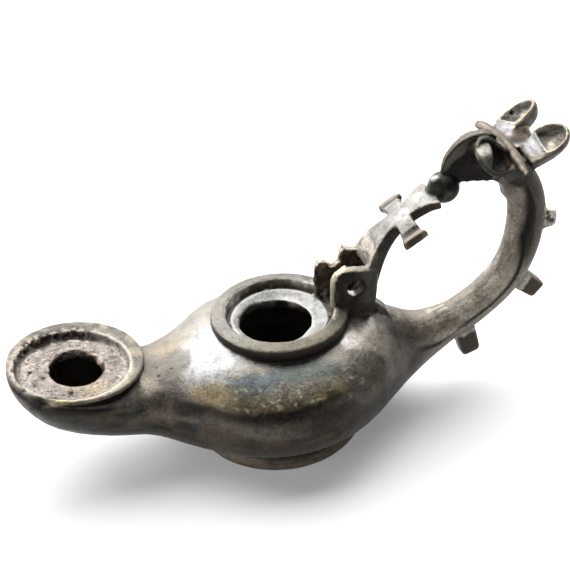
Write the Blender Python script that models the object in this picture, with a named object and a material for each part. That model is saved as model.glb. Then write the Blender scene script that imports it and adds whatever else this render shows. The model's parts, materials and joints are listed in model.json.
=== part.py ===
"""A cast bronze oil lamp: a round hollow body on a ring foot, a wide nozzle and a loop handle.

The handle leaves the tail and ends in a beaked head with cupped ears. The beak holds a ball, and
from the ball a cross runs down to the two hinge lugs beside the filling hole. The lid and its pin
are lost, and the far lug is broken at its top. The whole is one casting.
The lamp lies along X, nozzle at -X and handle at +X, and stands on Z = 0.
"""

import math

import bmesh
import bpy
from mathutils import Matrix, Vector

MM = 0.001

# Heights and places that the rest is set out from, in millimetres.
RIM_Z = 39.7  # outer edge of the filling ring above the ground
FILLER_X = -4.5
FOOT_X = -6.5
WALL = 3.0

# The filling ring and the sunk dish inside it.
RING_R = 20.5
RING_SIDE = 3.8
RING_CREST = 0.7  # the inner edge stands this much above the outer edge
RING_INNER_R = 16.2
DISH_DEPTH = 3.2
LIP_R = 14.8
HOLE_R = 10.7
HOLE_SHIFT = -1.3  # the hole is a little off centre, towards the nozzle

# The ring foot.
FOOT_R = 26.2
FOOT_H = 3.2
FOOT_INNER_R = 20.5
FOOT_RECESS = 1.6

# The nozzle's flat rim, its channel and the raised disc round the wick hole.
NOZZLE_X = -65.2
NOZZLE_Y = 1.2
NOZZLE_Z = 35.7
NOZZLE_R = 19.6
NOZZLE_RISE = math.radians(7.0)  # the rim climbs towards the tip
RIM_PLATE = 2.8
CHANNEL_SHIFT = (-1.2, -2.0)  # the channel and disc sit off the rim's centre
CHANNEL_R = 16.2
DISC_R = 14.6
WICK_SHIFT = (-0.2, -2.8)
WICK_R = 7.5
WICK_STRETCH = 1.08  # the wick hole is a little wider across the lamp than along it

# The body's skin: X, half width, height of the widest line, crown and keel.
BODY_STATIONS = (
    (-84.9, 1.0, 36.3, 37.0, 34.0),
    (-83.9, 6.4, 36.2, 36.9, 30.3),
    (-80.6, 12.6, 35.8, 36.5, 25.2),
    (-74.8, 17.4, 35.1, 35.8, 19.3),
    (-66.0, 19.6, 33.6, 34.7, 14.4),
    (-56.5, 18.5, 29.5, 33.3, 10.6),
    (-50.5, 16.4, 25.8, 31.9, 8.4),
    (-45.5, 15.5, 22.0, 30.9, 6.2),
    (-35.0, 21.8, 18.9, 32.8, 2.8),
    (-25.0, 29.6, 18.7, 37.2, 2.0),
    (-13.0, 34.9, 18.7, 38.2, 2.0),
    (0.0, 35.0, 18.7, 38.2, 2.0),
    (11.5, 30.4, 18.7, 37.4, 2.0),
    (22.5, 21.8, 18.5, 36.0, 2.6),
)

# From the tail on, the skin follows the handle: X, Z, half width, half height outside, inside.
HANDLE_STATIONS = (
    (31.5, 18.7, 13.6, 12.6, 13.0),
    (40.5, 19.9, 8.0, 9.3, 8.5),
    (49.8, 23.0, 5.7, 6.4, 6.3),
    (56.5, 26.2, 5.5, 5.8, 5.8),
    (63.0, 30.9, 5.4, 5.6, 5.6),
    (68.7, 37.0, 5.4, 5.6, 5.6),
    (71.9, 43.6, 5.4, 5.6, 5.6),
    (73.6, 51.0, 5.4, 5.7, 5.7),
    (73.9, 58.7, 5.4, 5.8, 5.8),
    (72.6, 65.0, 5.4, 5.6, 5.6),
    (69.6, 70.8, 5.2, 5.2, 5.2),
    (65.4, 75.4, 4.4, 4.4, 4.4),
)
SKIN_SIDES = 28
SKIN_STEPS = 2
TURN_SIDES = 36  # facets round a turned shape

# The hinge lugs and the slot between them, where the lid's knuckle turned.
LUG_FRONT_X = 10.5
LUG_BACK_X = 24.6
LUG_TOP_Z = 52.5
LUG_BASE_Z = 34.4
LUG_CORNER = 4.6
LUG_THICK = 2.9
LUG_BEVEL = 0.9
NEAR_LUG_Y = -2.8
FAR_LUG_Y = 5.0
PIN_X = 17.7
PIN_Z = 46.0
PIN_R = 2.85
PIN_FAR_R = 0.8  # the bore narrows from the near lug to the far one
SLOT = (
    (9.5, 37.2),
    (17.4, 36.9),
    (19.5, 38.4),
    (21.6, 40.9),
    (22.8, 44.2),
    (22.9, 47.4),
    (21.9, 52.9),
    (9.5, 52.9),
)

# The upright of the cross, from the root between the lugs to the ball: X, Z of its upper face,
# half width, thickness and sideways shift. Both of its ends flare.
UPRIGHT_STATIONS = (
    (19.2, 35.6, 4.6, 5.0, 1.1),
    (20.4, 46.0, 5.4, 5.0, 1.1),
    (22.2, 53.0, 6.2, 4.5, 1.1),
    (25.0, 58.5, 5.1, 4.3, 0.6),
    (28.6, 62.3, 3.7, 4.2, 0.2),
    (32.5, 65.3, 3.2, 3.9, 0.0),
    (36.2, 67.9, 4.0, 3.7, 0.0),
    (40.0, 70.1, 5.6, 3.2, 0.0),
    (42.9, 70.8, 7.0, 2.6, 0.0),
)
# One arm of the cross: reach, X and Z of its middle, half width and slope in degrees.
ARM_STATIONS = (
    (1.5, 32.3, 65.0, 2.9, 42.0),
    (5.0, 32.5, 64.7, 2.7, 38.0),
    (8.4, 33.0, 63.7, 3.1, 32.0),
    (10.9, 33.3, 62.9, 4.1, 30.0),
)
ARM_THICK = 2.7
FAR_ARM_LIFT = 1.2  # the far arm droops this much less than the near one
BALL_X = 46.3
BALL_Z = 71.5
BALL_R = 4.7

# The head.
BEAK_RIB = ((45.2, 76.6), (46.3, 81.0), (49.4, 84.9), (53.4, 87.0), (58.4, 87.3), (61.6, 85.8))
RIB_DEPTH = 3.3
BROW_X = 63.9
BROW_Z = 83.6
BROW_REACH = 17.6
BROW_DROP = 2.4
EYE_CENTRE = Vector((58.5, 6.5, 82.4))
EYE_AXIS = Vector((-0.46, -0.58, 0.67))
EYE_OPEN = Vector((0.10, 0.67, 0.74))
EYE_HALF_LENGTH = 6.6
EYE_HALF_WIDTH = 4.4
EYE_DEPTH = 3.6
EAR_RISE = math.radians(30.0)
EAR_BULGE = 0.16  # an ear widens by this share of its front edge before it narrows to the tip
# Each ear: inner and outer end of its straight front edge, reach to the tip and depth.
NEAR_EAR = (Vector((70.7, -3.8, 87.0)), Vector((71.2, -12.9, 83.4)), 8.8, 5.4)
FAR_EAR = (Vector((69.0, 2.4, 86.5)), Vector((67.5, 12.5, 83.8)), 11.0, 5.4)
# A cup from the middle of its outside, over its rim, to the middle of its hollow: scale, height.
CUP_PROFILE = (
    (0.40, -1.0),
    (0.78, -0.88),
    (0.95, -0.55),
    (1.0, -0.1),
    (0.98, 0.0),
    (0.82, 0.0),
    (0.74, -0.28),
    (0.50, -0.52),
    (0.20, -0.60),
)
HOLLOW_PROFILE = ((0.84, 0.5), (0.815, -0.02), (0.735, -0.30), (0.49, -0.54), (0.19, -0.62))

# The three pegs on the outside of the handle: X and Z of the root, heading, length, half width.
PEGS = (
    (56.3, 16.7, -73.0, 7.5, 3.1),
    (75.3, 33.2, -41.0, 6.7, 3.0),
    (79.4, 55.5, -3.0, 4.3, 2.9),
)
PEG_SUNK = 3.0
PEG_HALF_THICK = 2.5

BRONZE = (0.20, 0.18, 0.15, 1.0)
SMOOTH_ANGLE = math.radians(38.0)


def clear_scene():
    for obj in list(bpy.data.objects):
        bpy.data.objects.remove(obj, do_unlink=True)


def smooth_stations(stations, steps):
    """Rows between the given rows, on a Catmull-Rom curve through each column."""
    rows = []
    last = len(stations) - 1
    for i in range(last):
        before = stations[max(i - 1, 0)]
        start = stations[i]
        end = stations[i + 1]
        after = stations[min(i + 2, last)]
        for step in range(steps):
            t = step / steps
            rows.append(
                tuple(
                    0.5 * (2 * b + (c - a) * t + (2 * a - 5 * b + 4 * c - d) * t**2)
                    + 0.5 * (3 * b - a - 3 * c + d) * t**3
                    for a, b, c, d in zip(before, start, end, after)
                )
            )
    rows.append(stations[last])
    return rows


def headings(rows):
    """The unit direction in X and Z along rows that begin with X and Z."""
    for i in range(len(rows)):
        before = rows[max(i - 1, 0)]
        after = rows[min(i + 1, len(rows) - 1)]
        yield Vector((after[0] - before[0], after[1] - before[1])).normalized()


def add_object(name, bm):
    bmesh.ops.recalc_face_normals(bm, faces=bm.faces)
    bmesh.ops.scale(bm, vec=(MM, MM, MM), verts=bm.verts)
    mesh = bpy.data.meshes.new(name)
    bm.to_mesh(mesh)
    bm.free()
    obj = bpy.data.objects.new(name, mesh)
    bpy.context.scene.collection.objects.link(obj)
    return obj


def skin(name, rings):
    """A closed skin over rings that have the same number of points."""
    bm = bmesh.new()
    loops = [[bm.verts.new(point) for point in ring] for ring in rings]
    for first, second in zip(loops, loops[1:]):
        for i in range(len(first)):
            bm.faces.new((first[i - 1], first[i], second[i], second[i - 1]))
    bm.faces.new(loops[0])
    bm.faces.new(loops[-1])
    return add_object(name, bm)


def turned(name, profile, sides, centre, tilt=0.0):
    """A solid turned about Z: the profile holds radius and height, from the axis to the axis."""
    bm = bmesh.new()
    verts = [bm.verts.new((radius, 0.0, height)) for radius, height in profile]
    edges = [bm.edges.new(pair) for pair in zip(verts, verts[1:])]
    bmesh.ops.spin(
        bm, geom=verts + edges, cent=(0, 0, 0), axis=(0, 0, 1), angle=math.tau, steps=sides
    )
    bmesh.ops.remove_doubles(bm, verts=bm.verts, dist=0.001)
    place = Matrix.Translation(Vector(centre)) @ Matrix.Rotation(tilt, 4, "Y")
    bmesh.ops.transform(bm, matrix=place, verts=bm.verts)
    return add_object(name, bm)


def block(name, corners):
    """The convex solid with these corners."""
    bm = bmesh.new()
    verts = [bm.verts.new(corner) for corner in corners]
    hull = bmesh.ops.convex_hull(bm, input=verts)
    inside = [v for v in hull["geom_interior"] if isinstance(v, bmesh.types.BMVert)]
    bmesh.ops.delete(bm, geom=inside, context="VERTS")
    return add_object(name, bm)


def plate(name, outline, y, thick, bevel=0.0):
    """A flat piece: an outline of X and Z at the depth y, made thick along Y.

    The edges of its outer face are bevelled.
    """
    bm = bmesh.new()
    face = bm.faces.new([bm.verts.new((x, y, z)) for x, z in outline])
    grown = bmesh.ops.extrude_face_region(bm, geom=[face])["geom"]
    verts = [v for v in grown if isinstance(v, bmesh.types.BMVert)]
    bmesh.ops.translate(bm, vec=(0.0, thick, 0.0), verts=verts)
    if bevel:
        edges = [e for e in grown if isinstance(e, bmesh.types.BMEdge)]
        bmesh.ops.bevel(bm, geom=edges, offset=bevel, segments=2, profile=0.5, affect="EDGES")
    return add_object(name, bm)


def cup(name, outline, depth, place, profile=CUP_PROFILE):
    """A cup over an outline of local X and Y. It opens towards local +Z."""
    rings = [
        [place @ Vector((u * scale, v * scale, depth * height)) for u, v in outline]
        for scale, height in profile
    ]
    return skin(name, rings)


def apply_boolean(target, name, tools, operation):
    """Joins the tools to the target or cuts them away, then removes them."""
    group = bpy.data.collections.new(name)
    for tool in tools:
        group.objects.link(tool)
    modifier = target.modifiers.new(name, "BOOLEAN")
    modifier.operation = operation
    modifier.operand_type = "COLLECTION"
    modifier.collection = group
    modifier.solver = "EXACT"
    graph = bpy.context.evaluated_depsgraph_get()
    mesh = bpy.data.meshes.new_from_object(target.evaluated_get(graph))
    target.modifiers.clear()
    target.data = mesh
    for tool in tools:
        bpy.data.objects.remove(tool, do_unlink=True)
    bpy.data.collections.remove(group)


def body_section(x, width, widest, crown, keel, sides):
    """An upright section of the body: half an ellipse above its widest line and half below."""
    points = []
    for i in range(sides):
        angle = math.tau * i / sides
        rise = crown - widest if math.sin(angle) > 0 else widest - keel
        points.append((x, width * math.cos(angle), widest + rise * math.sin(angle)))
    return points


def handle_sections():
    """Sections square to the handle's path. Inside is the side of the loop's opening."""
    rows = smooth_stations(HANDLE_STATIONS, SKIN_STEPS)
    rings = []
    for (x, z, width, outside, inside), along in zip(rows, headings(rows)):
        ring = []
        for i in range(SKIN_SIDES):
            angle = math.tau * i / SKIN_SIDES
            lift = (inside if math.sin(angle) > 0 else outside) * math.sin(angle)
            ring.append((x - along.y * lift, width * math.cos(angle), z + along.x * lift))
        rings.append(ring)
    return rings


def lamp_skin():
    """The outside of the body and the handle, in one run."""
    rows = smooth_stations(BODY_STATIONS, SKIN_STEPS)
    return skin("lamp", [body_section(*row, SKIN_SIDES) for row in rows] + handle_sections())


def reservoir():
    """The oil space, one wall inside the skin, from under the wick hole to the tail."""
    inner = []
    for x, width, widest, crown, keel in BODY_STATIONS[3:]:
        top = min(crown - WALL, RIM_Z - DISH_DEPTH - WALL)
        inner.append((x, width - WALL, min(widest, top - 1.0), top, keel + WALL))
    x, z, width, outside, inside = HANDLE_STATIONS[0]
    tail = WALL + 1.5
    inner.append((x - 2.0, width - tail, z, z + inside - tail, z - outside + tail))
    rows = smooth_stations(inner, 2)
    return skin("reservoir", [body_section(*row, 24) for row in rows])


def filling_seat():
    """The cutter that clears the body's crown from under the filling ring."""
    profile = ((0.0, 34.6), (RING_R - 2.6, 34.6), (RING_R - 2.6, 44.0), (0.0, 44.0))
    return turned("filling_seat", profile, 27, (FILLER_X, 0.0, 0.0))


def filling_ring():
    """The ring, the steep wall of its dish, a narrow channel and a lip sloping to the hole."""
    crest = RIM_Z + RING_CREST
    floor = RIM_Z - DISH_DEPTH
    profile = (
        (0.0, floor - WALL),
        (RING_R - 2.0, floor - WALL),
        (RING_R - 0.3, RIM_Z - RING_SIDE),
        (RING_R, RIM_Z - 0.6),
        (RING_R - 0.5, RIM_Z),
        (RING_INNER_R + 0.5, crest),
        (RING_INNER_R, crest - 0.3),
        (RING_INNER_R - 0.5, floor),
        (LIP_R + 0.3, floor),
        (LIP_R, floor + 0.9),
        (LIP_R - 0.5, floor + 1.1),
        (HOLE_R + 0.6, floor - 0.6),
        (0.0, floor - 0.6),
    )
    return turned("filling_ring", profile, TURN_SIDES, (FILLER_X, 0.0, 0.0))


def filling_hole():
    profile = ((0.0, 20.0), (HOLE_R, 20.0), (HOLE_R + 0.3, RIM_Z), (0.0, RIM_Z))
    return turned("filling_hole", profile, 32, (FILLER_X + HOLE_SHIFT, 0.0, 0.0))


def foot():
    """The ring foot, with a waist under the belly and a shallow recess beneath."""
    profile = (
        (0.0, 3.5),
        (FOOT_R - 6.0, 6.0),
        (FOOT_R - 3.4, 7.4),
        (FOOT_R - 3.0, 4.6),
        (FOOT_R - 1.2, FOOT_H + 0.1),
        (FOOT_R - 0.4, FOOT_H - 0.6),
        (FOOT_R, 0.9),
        (FOOT_R - 0.4, 0.0),
        (FOOT_INNER_R, 0.0),
        (FOOT_INNER_R - 1.2, FOOT_RECESS),
        (0.0, FOOT_RECESS),
    )
    return turned("foot", profile, TURN_SIDES, (FOOT_X, 0.0, 0.0))


def nozzle_rim():
    profile = (
        (0.0, -RIM_PLATE - 4.5),
        (NOZZLE_R - 5.5, -RIM_PLATE - 4.5),
        (NOZZLE_R - 1.2, -RIM_PLATE),
        (NOZZLE_R, -1.2),
        (NOZZLE_R, -0.5),
        (NOZZLE_R - 0.5, 0.0),
        (0.0, 0.0),
    )
    return turned("nozzle_rim", profile, TURN_SIDES, (NOZZLE_X, NOZZLE_Y, NOZZLE_Z), NOZZLE_RISE)


def nozzle_cutter(name, profile, sides, shift, stretch=1.0):
    x = NOZZLE_X + shift[0]
    z = NOZZLE_Z - shift[0] * math.tan(NOZZLE_RISE)
    cutter = turned(name, profile, sides, (x, 0.0, z), NOZZLE_RISE)
    cutter.data.transform(Matrix.Diagonal((1.0, stretch, 1.0, 1.0)))
    cutter.data.transform(Matrix.Translation((0.0, (NOZZLE_Y + shift[1]) * MM, 0.0)))
    return cutter


def nozzle_channel():
    profile = (
        (0.0, -1.3),
        (WICK_R + 1.2, -1.2),
        (DISC_R - 0.4, -1.6),
        (DISC_R, -2.4),
        (CHANNEL_R - 0.3, -2.5),
        (CHANNEL_R + 0.6, 3.0),
        (0.0, 3.0),
    )
    return nozzle_cutter("nozzle_channel", profile, TURN_SIDES, CHANNEL_SHIFT)


def wick_hole():
    profile = ((0.0, -14.0), (WICK_R, -14.0), (WICK_R + 0.2, 3.0), (0.0, 3.0))
    return nozzle_cutter("wick_hole", profile, 26, WICK_SHIFT, WICK_STRETCH)


def rounded_corner(x, z, radius, steps):
    """Points of a quarter turn from an upright side to the top, round the corner x, z."""
    points = []
    for i in range(steps + 1):
        angle = math.pi - math.pi / 2 * i / steps
        points.append((x + radius + radius * math.cos(angle), z - radius + radius * math.sin(angle)))
    return points


def near_lug():
    outline = [(LUG_FRONT_X, RIM_Z - 2.0)]
    outline += rounded_corner(LUG_FRONT_X, LUG_TOP_Z, LUG_CORNER, 6)
    outline += [
        (LUG_BACK_X, LUG_TOP_Z - 1.3),
        (LUG_BACK_X - 0.3, LUG_BASE_Z + 6.0),
        (LUG_BACK_X - 2.2, LUG_BASE_Z),
        (LUG_FRONT_X + 6.0, LUG_BASE_Z),
    ]
    return plate("near_lug", outline, NEAR_LUG_Y, -LUG_THICK, LUG_BEVEL)


def far_lug():
    """The far lug has lost its upper front corner, down to its pin hole."""
    outline = (
        (8.5, 36.6),
        (8.6, 48.6),
        (9.9, 50.2),
        (11.5, 50.1),
        (13.1, 48.2),
        (14.7, 47.7),
        (16.6, 49.3),
        (16.7, 52.0),
        (17.4, 53.9),
        (19.5, 52.7),
        (LUG_BACK_X - 1.5, LUG_TOP_Z - 0.6),
        (LUG_BACK_X - 1.5, LUG_BASE_Z + 6.0),
        (LUG_BACK_X - 2.2, LUG_BASE_Z),
        (LUG_FRONT_X + 4.0, LUG_BASE_Z),
    )
    return plate("far_lug", outline, FAR_LUG_Y, LUG_THICK)


def knuckle_slot():
    """The cutter for the gap between the lugs: it runs back to a hollowed ramp."""
    return plate("knuckle_slot", SLOT, NEAR_LUG_Y, FAR_LUG_Y - NEAR_LUG_Y)


def pin_bore():
    bm = bmesh.new()
    bmesh.ops.create_cone(
        bm, cap_ends=True, segments=20, radius1=PIN_FAR_R, radius2=PIN_R, depth=18.0
    )
    place = Matrix.Translation((PIN_X, 1.0, PIN_Z)) @ Matrix.Rotation(math.pi / 2, 4, "X")
    bmesh.ops.transform(bm, matrix=place, verts=bm.verts)
    return add_object("pin_bore", bm)


def heel():
    """The fillet between the backs of the lugs and the top of the handle's root."""
    ridge = (
        (20.5, 44.0, 2.7),
        (23.9, 43.0, 2.7),
        (24.3, 39.6, 2.9),
        (25.7, 36.9, 5.0),
        (28.4, 34.2, 7.5),
        (31.5, 30.0, 8.5),
    )
    middle = (NEAR_LUG_Y + FAR_LUG_Y) / 2 - 1.0
    rings = []
    for x, z, foot_half in ridge:
        section = ((-foot_half, -6.0), (-2.6, 0.0), (2.6, 0.0), (foot_half, -6.0))
        rings.append([(x, middle + across, z + down) for across, down in section])
    return skin("heel", rings)


def upright():
    """The cross's upright. Its lower end stands between the lugs and its upper end is a fishtail."""
    rows = smooth_stations(UPRIGHT_STATIONS, 2)
    edge = 0.5
    rings = []
    for (x, z, width, thick, shift), along in zip(rows, headings(rows)):
        inset = 1.0 - edge / width
        section = (
            (-1.0, edge),
            (-1.0, thick - edge),
            (-inset, thick),
            (inset, thick),
            (1.0, thick - edge),
            (1.0, edge),
            (inset, 0.0),
            (-inset, 0.0),
        )
        rings.append(
            [
                (x + along.y * down, shift + side * width, z - along.x * down)
                for side, down in section
            ]
        )
    return skin("upright", rings)


def cross_arm(side):
    """One arm of the cross: it droops and flares to its end."""
    edge = 0.4
    rings = []
    for reach, x, z, half, slope in smooth_stations(ARM_STATIONS, 2):
        angle = math.radians(slope)
        z += FAR_ARM_LIFT * (side > 0) * reach / ARM_STATIONS[-1][0]
        along = Vector((math.cos(angle), math.sin(angle)))
        section = (
            (-half, edge),
            (-half, ARM_THICK),
            (half, ARM_THICK),
            (half, edge),
            (half - edge, 0.0),
            (edge - half, 0.0),
        )
        rings.append(
            [
                (x + along.x * run + along.y * down, side * reach, z + along.y * run - along.x * down)
                for run, down in section
            ]
        )
    return skin("cross_arm", rings)


def ball():
    bm = bmesh.new()
    bmesh.ops.create_uvsphere(bm, u_segments=16, v_segments=11, radius=BALL_R)
    bmesh.ops.translate(bm, vec=(BALL_X, 0.0, BALL_Z), verts=bm.verts)
    return add_object("ball", bm)


def beak_rib():
    """The curved upper edge of the beak, from the ball to the brow."""
    rows = smooth_stations(BEAK_RIB, 3)
    edge = 0.4
    rings = []
    for i, ((x, z), along) in enumerate(zip(rows, headings(rows))):
        half = 1.0 + 1.2 * i / len(rows)
        section = (
            (-half, edge),
            (-half, RIB_DEPTH),
            (half, RIB_DEPTH),
            (half, edge),
            (half - edge, 0.0),
            (edge - half, 0.0),
        )
        rings.append([(x + along.y * down, across, z - along.x * down) for across, down in section])
    return skin("beak_rib", rings)


def both_sides(points):
    return [(x, side * y, z) for x, y, z in points for side in (-1, 1)]


def jaw():
    """The thin web under the rib, down to the lower jaw."""
    corners = (
        (46.2, 0.9, 76.0),
        (48.8, 1.1, 72.9),
        (54.6, 1.9, 72.7),
        (61.0, 2.9, 72.0),
        (66.0, 3.6, 76.0),
        (62.0, 3.2, 84.4),
        (51.0, 1.2, 82.4),
    )
    return block("jaw", both_sides(corners))


def face():
    """The wedge of the face: narrow at the jaw, wide under the brow."""
    corners = (
        (57.0, 0.6, 76.0),
        (56.4, 0.7, 82.6),
        (BROW_X - 0.6, 4.0, BROW_Z - 1.6),
        (BROW_X - 0.2, BROW_REACH - 3.5, BROW_Z - 3.6),
        (BROW_X + 1.2, BROW_REACH - 5.0, BROW_Z - 5.2),
        (BROW_X + 5.0, 5.6, 72.6),
        (BROW_X + 4.5, 7.0, 80.0),
        (BROW_X + 1.0, 3.4, 71.0),
    )
    return block("face", both_sides(corners))


def throat():
    """The fillet between the lower jaw and the inside of the handle."""
    outline = (
        (59.2, 72.4),
        (61.7, 71.3),
        (64.7, 68.4),
        (65.5, 64.6),
        (70.0, 64.6),
        (67.0, 76.0),
        (59.2, 76.0),
    )
    return plate("throat", outline, -2.8, 5.6)


def crown():
    """The top of the head between the ears."""
    corners = (
        (BROW_X - 0.3, 5.4, BROW_Z - 1.0),
        (70.5, 4.6, 84.4),
        (74.0, 4.1, 83.4),
        (74.0, 3.8, 75.0),
        (BROW_X + 1.4, 4.6, 74.0),
        (71.0, 4.2, 70.0),
    )
    return block("crown", both_sides(corners))


def brow():
    """The bar across the head, bowed down at both ends and pointed at the near one."""
    rings = []
    count = 12
    for i in range(count + 1):
        across = -1.0 + 2.0 * i / count
        near_taper = 0.62 * max(-across - 0.62, 0.0) / 0.38
        far_taper = 0.25 * max(across - 0.8, 0.0) / 0.2
        size = 1.0 - near_taper - far_taper
        x = BROW_X + 0.5 * across
        z = BROW_Z - 0.4 - BROW_DROP * across**2
        ring = []
        for k in range(8):
            angle = math.tau * (k + 0.5) / 8
            around = (1.5 * size * math.cos(angle), 1.7 * size * math.sin(angle))
            ring.append((x + around[0], BROW_REACH * across, z + around[1]))
        rings.append(ring)
    return skin("brow", rings)


def eye(side, profile=CUP_PROFILE):
    """A cupped lobe on the cheek, open outwards and upwards."""
    mirror = Vector((1.0, side, 1.0))
    axis = (EYE_AXIS * mirror).normalized()
    opening = EYE_OPEN * mirror
    opening = (opening - axis * opening.dot(axis)).normalized()
    place = Matrix((axis, opening.cross(axis), opening)).transposed().to_4x4()
    place.translation = EYE_CENTRE * mirror
    angles = [math.tau * i / 16 for i in range(16)]
    outline = [(EYE_HALF_LENGTH * math.cos(a), EYE_HALF_WIDTH * math.sin(a)) for a in angles]
    return cup("eye", outline, EYE_DEPTH, place, profile)


def ear(inner, outer, reach, depth):
    """A leaf-shaped cup laid back from a straight front edge."""
    across = (outer - inner).normalized()
    back = Vector((math.cos(EAR_RISE), 0.0, math.sin(EAR_RISE)))
    back = (back - across * back.dot(across)).normalized()
    opening = across.cross(back)
    if opening.z < 0:
        opening = -opening
    middle = 0.42 * reach
    place = Matrix((across, back, opening)).transposed().to_4x4()
    place.translation = (inner + outer) / 2 + back * middle
    half = (outer - inner).length / 2
    angles = [math.pi * i / 12 for i in range(13)]
    outline = [
        (half * math.cos(a) * (1.0 + EAR_BULGE * math.sin(a)), reach * math.sin(a) - middle)
        for a in angles
    ]
    outline += [(half * share, -middle) for share in (-0.5, 0.0, 0.5)]
    return cup("ear", outline, depth, place)


def ear_root(inner, outer):
    """The flat-fronted stem between the brow and the front edge of an ear."""
    side = math.copysign(1.0, outer.y)
    lower = Vector((-3.6, 0.0, -4.6))
    behind = Vector((4.0, 0.0, -2.4))
    dip = Vector((0.5, 0.0, -0.5))
    corners = [
        inner + dip,
        outer + dip,
        inner + lower,
        outer + lower + Vector((0.0, -side * 1.6, 1.8)),
        inner + behind,
        outer + behind - Vector((0.0, side * 1.6, 0.0)),
        inner + Vector((-1.0, 0.0, -9.0)),
        outer + Vector((-1.6, -side * 4.0, -6.6)),
    ]
    return block("ear_root", corners)


def peg(x, z, heading, length, half):
    """A stub on the outside of the handle, leaving it at a heading in degrees."""
    angle = math.radians(heading)
    out = Vector((math.cos(angle), math.sin(angle)))
    corners = []
    for reach, size in ((-PEG_SUNK, half + 0.3), (length - 0.7, half), (length, half - 0.6)):
        for along in (-size, size):
            for across in (-1, 1):
                corners.append(
                    (
                        x + out.x * reach - out.y * along,
                        across * PEG_HALF_THICK * size / half,
                        z + out.y * reach + out.x * along,
                    )
                )
    return block("peg", corners)


def superstructure():
    """All that stands on the body and the handle."""
    solids = [filling_ring(), near_lug(), far_lug(), heel()]
    solids += [upright(), cross_arm(-1), cross_arm(1), ball()]
    solids += [jaw(), throat(), beak_rib(), face(), crown(), brow(), eye(-1), eye(1)]
    for inner, outer, reach, depth in (NEAR_EAR, FAR_EAR):
        solids += [ear_root(inner, outer), ear(inner, outer, reach, depth)]
    return solids + [peg(*row) for row in PEGS]


def settle(mesh):
    """Merges the tiny edges that the joins leave, and shades the round parts smooth."""
    bm = bmesh.new()
    bm.from_mesh(mesh)
    bmesh.ops.remove_doubles(bm, verts=bm.verts, dist=0.004 * MM)
    bmesh.ops.dissolve_degenerate(bm, edges=bm.edges, dist=0.004 * MM)
    bmesh.ops.triangulate(bm, faces=bm.faces)
    bm.to_mesh(mesh)
    bm.free()
    mesh.shade_smooth()
    mesh.set_sharp_from_angle(angle=SMOOTH_ANGLE)


def centre_length(mesh):
    """Moves the mesh along X until its box is centred on the origin."""
    along = [vertex.co.x for vertex in mesh.vertices]
    mesh.transform(Matrix.Translation((-(min(along) + max(along)) / 2, 0.0, 0.0)))


def lamp():
    body = lamp_skin()
    apply_boolean(body, "base", (foot(), nozzle_rim()), "UNION")
    apply_boolean(body, "sinkings", (filling_seat(), nozzle_channel()), "DIFFERENCE")
    apply_boolean(body, "upper_works", superstructure(), "UNION")
    cutters = [knuckle_slot(), pin_bore(), reservoir(), filling_hole(), wick_hole()]
    cutters += [eye(side, HOLLOW_PROFILE) for side in (-1, 1)]
    apply_boolean(body, "hollows", cutters, "DIFFERENCE")
    settle(body.data)
    centre_length(body.data)
    return body


def finish(obj):
    material = bpy.data.materials.new("bronze")
    material.use_nodes = True
    shader = material.node_tree.nodes["Principled BSDF"]
    shader.inputs["Base Color"].default_value = BRONZE
    shader.inputs["Roughness"].default_value = 0.42
    shader.inputs["Metallic"].default_value = 0.85
    obj.data.materials.clear()
    obj.data.materials.append(material)


clear_scene()
finish(lamp())
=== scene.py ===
# %% [markdown]
# # A bronze oil lamp with a beast's head on its handle
# The real lamp is one piece of cast bronze: a hollow belly on a ring foot, a filling ring, a long
# nozzle with a wick hole, two hinge lugs whose lid and pin are lost, a cross, and a looped handle
# that ends in a small beast's head. The casting is already made as a solid. This lesson gives it
# the worn skin, the pits and the patina of an old bronze, then lights it.

import json
import math

import bpy
import numpy as np
from mathutils import Matrix, Vector
from mathutils.bvhtree import BVHTree
from mathutils.kdtree import KDTree


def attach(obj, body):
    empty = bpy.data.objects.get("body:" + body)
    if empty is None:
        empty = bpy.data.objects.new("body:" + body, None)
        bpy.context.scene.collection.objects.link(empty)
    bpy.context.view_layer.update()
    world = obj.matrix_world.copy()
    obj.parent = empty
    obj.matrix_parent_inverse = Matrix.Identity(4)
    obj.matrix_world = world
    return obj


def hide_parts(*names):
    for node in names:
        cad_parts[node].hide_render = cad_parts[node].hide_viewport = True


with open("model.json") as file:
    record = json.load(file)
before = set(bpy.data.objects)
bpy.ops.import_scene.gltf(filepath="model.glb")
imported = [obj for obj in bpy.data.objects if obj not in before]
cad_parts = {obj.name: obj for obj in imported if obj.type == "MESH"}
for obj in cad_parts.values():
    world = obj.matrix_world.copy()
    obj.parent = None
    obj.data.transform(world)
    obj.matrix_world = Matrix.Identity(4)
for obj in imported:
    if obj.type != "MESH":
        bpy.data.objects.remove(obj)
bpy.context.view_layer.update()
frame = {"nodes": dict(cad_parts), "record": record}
MM = 0.001

# %% [markdown]
# ## Where things are
# A finish has to stay on its feature. The solid's record states the openings, so the filling ring
# and the nozzle are found from them, and the places on the handle are named once. Sizes are in
# millimetres, and are turned into metres on the way in. x runs from the nozzle to the handle, y
# from the near side to the far side, and z up.

# %% Places on the lamp
rooms = {room["name"]: room["box_m"] for room in frame["record"]["physics"]["openings"]}


def middle(name):
    """The middle of a stated opening, in millimetres."""
    low, high = rooms[name]
    return (Vector(low) + Vector(high)) / (2 * MM)


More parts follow.
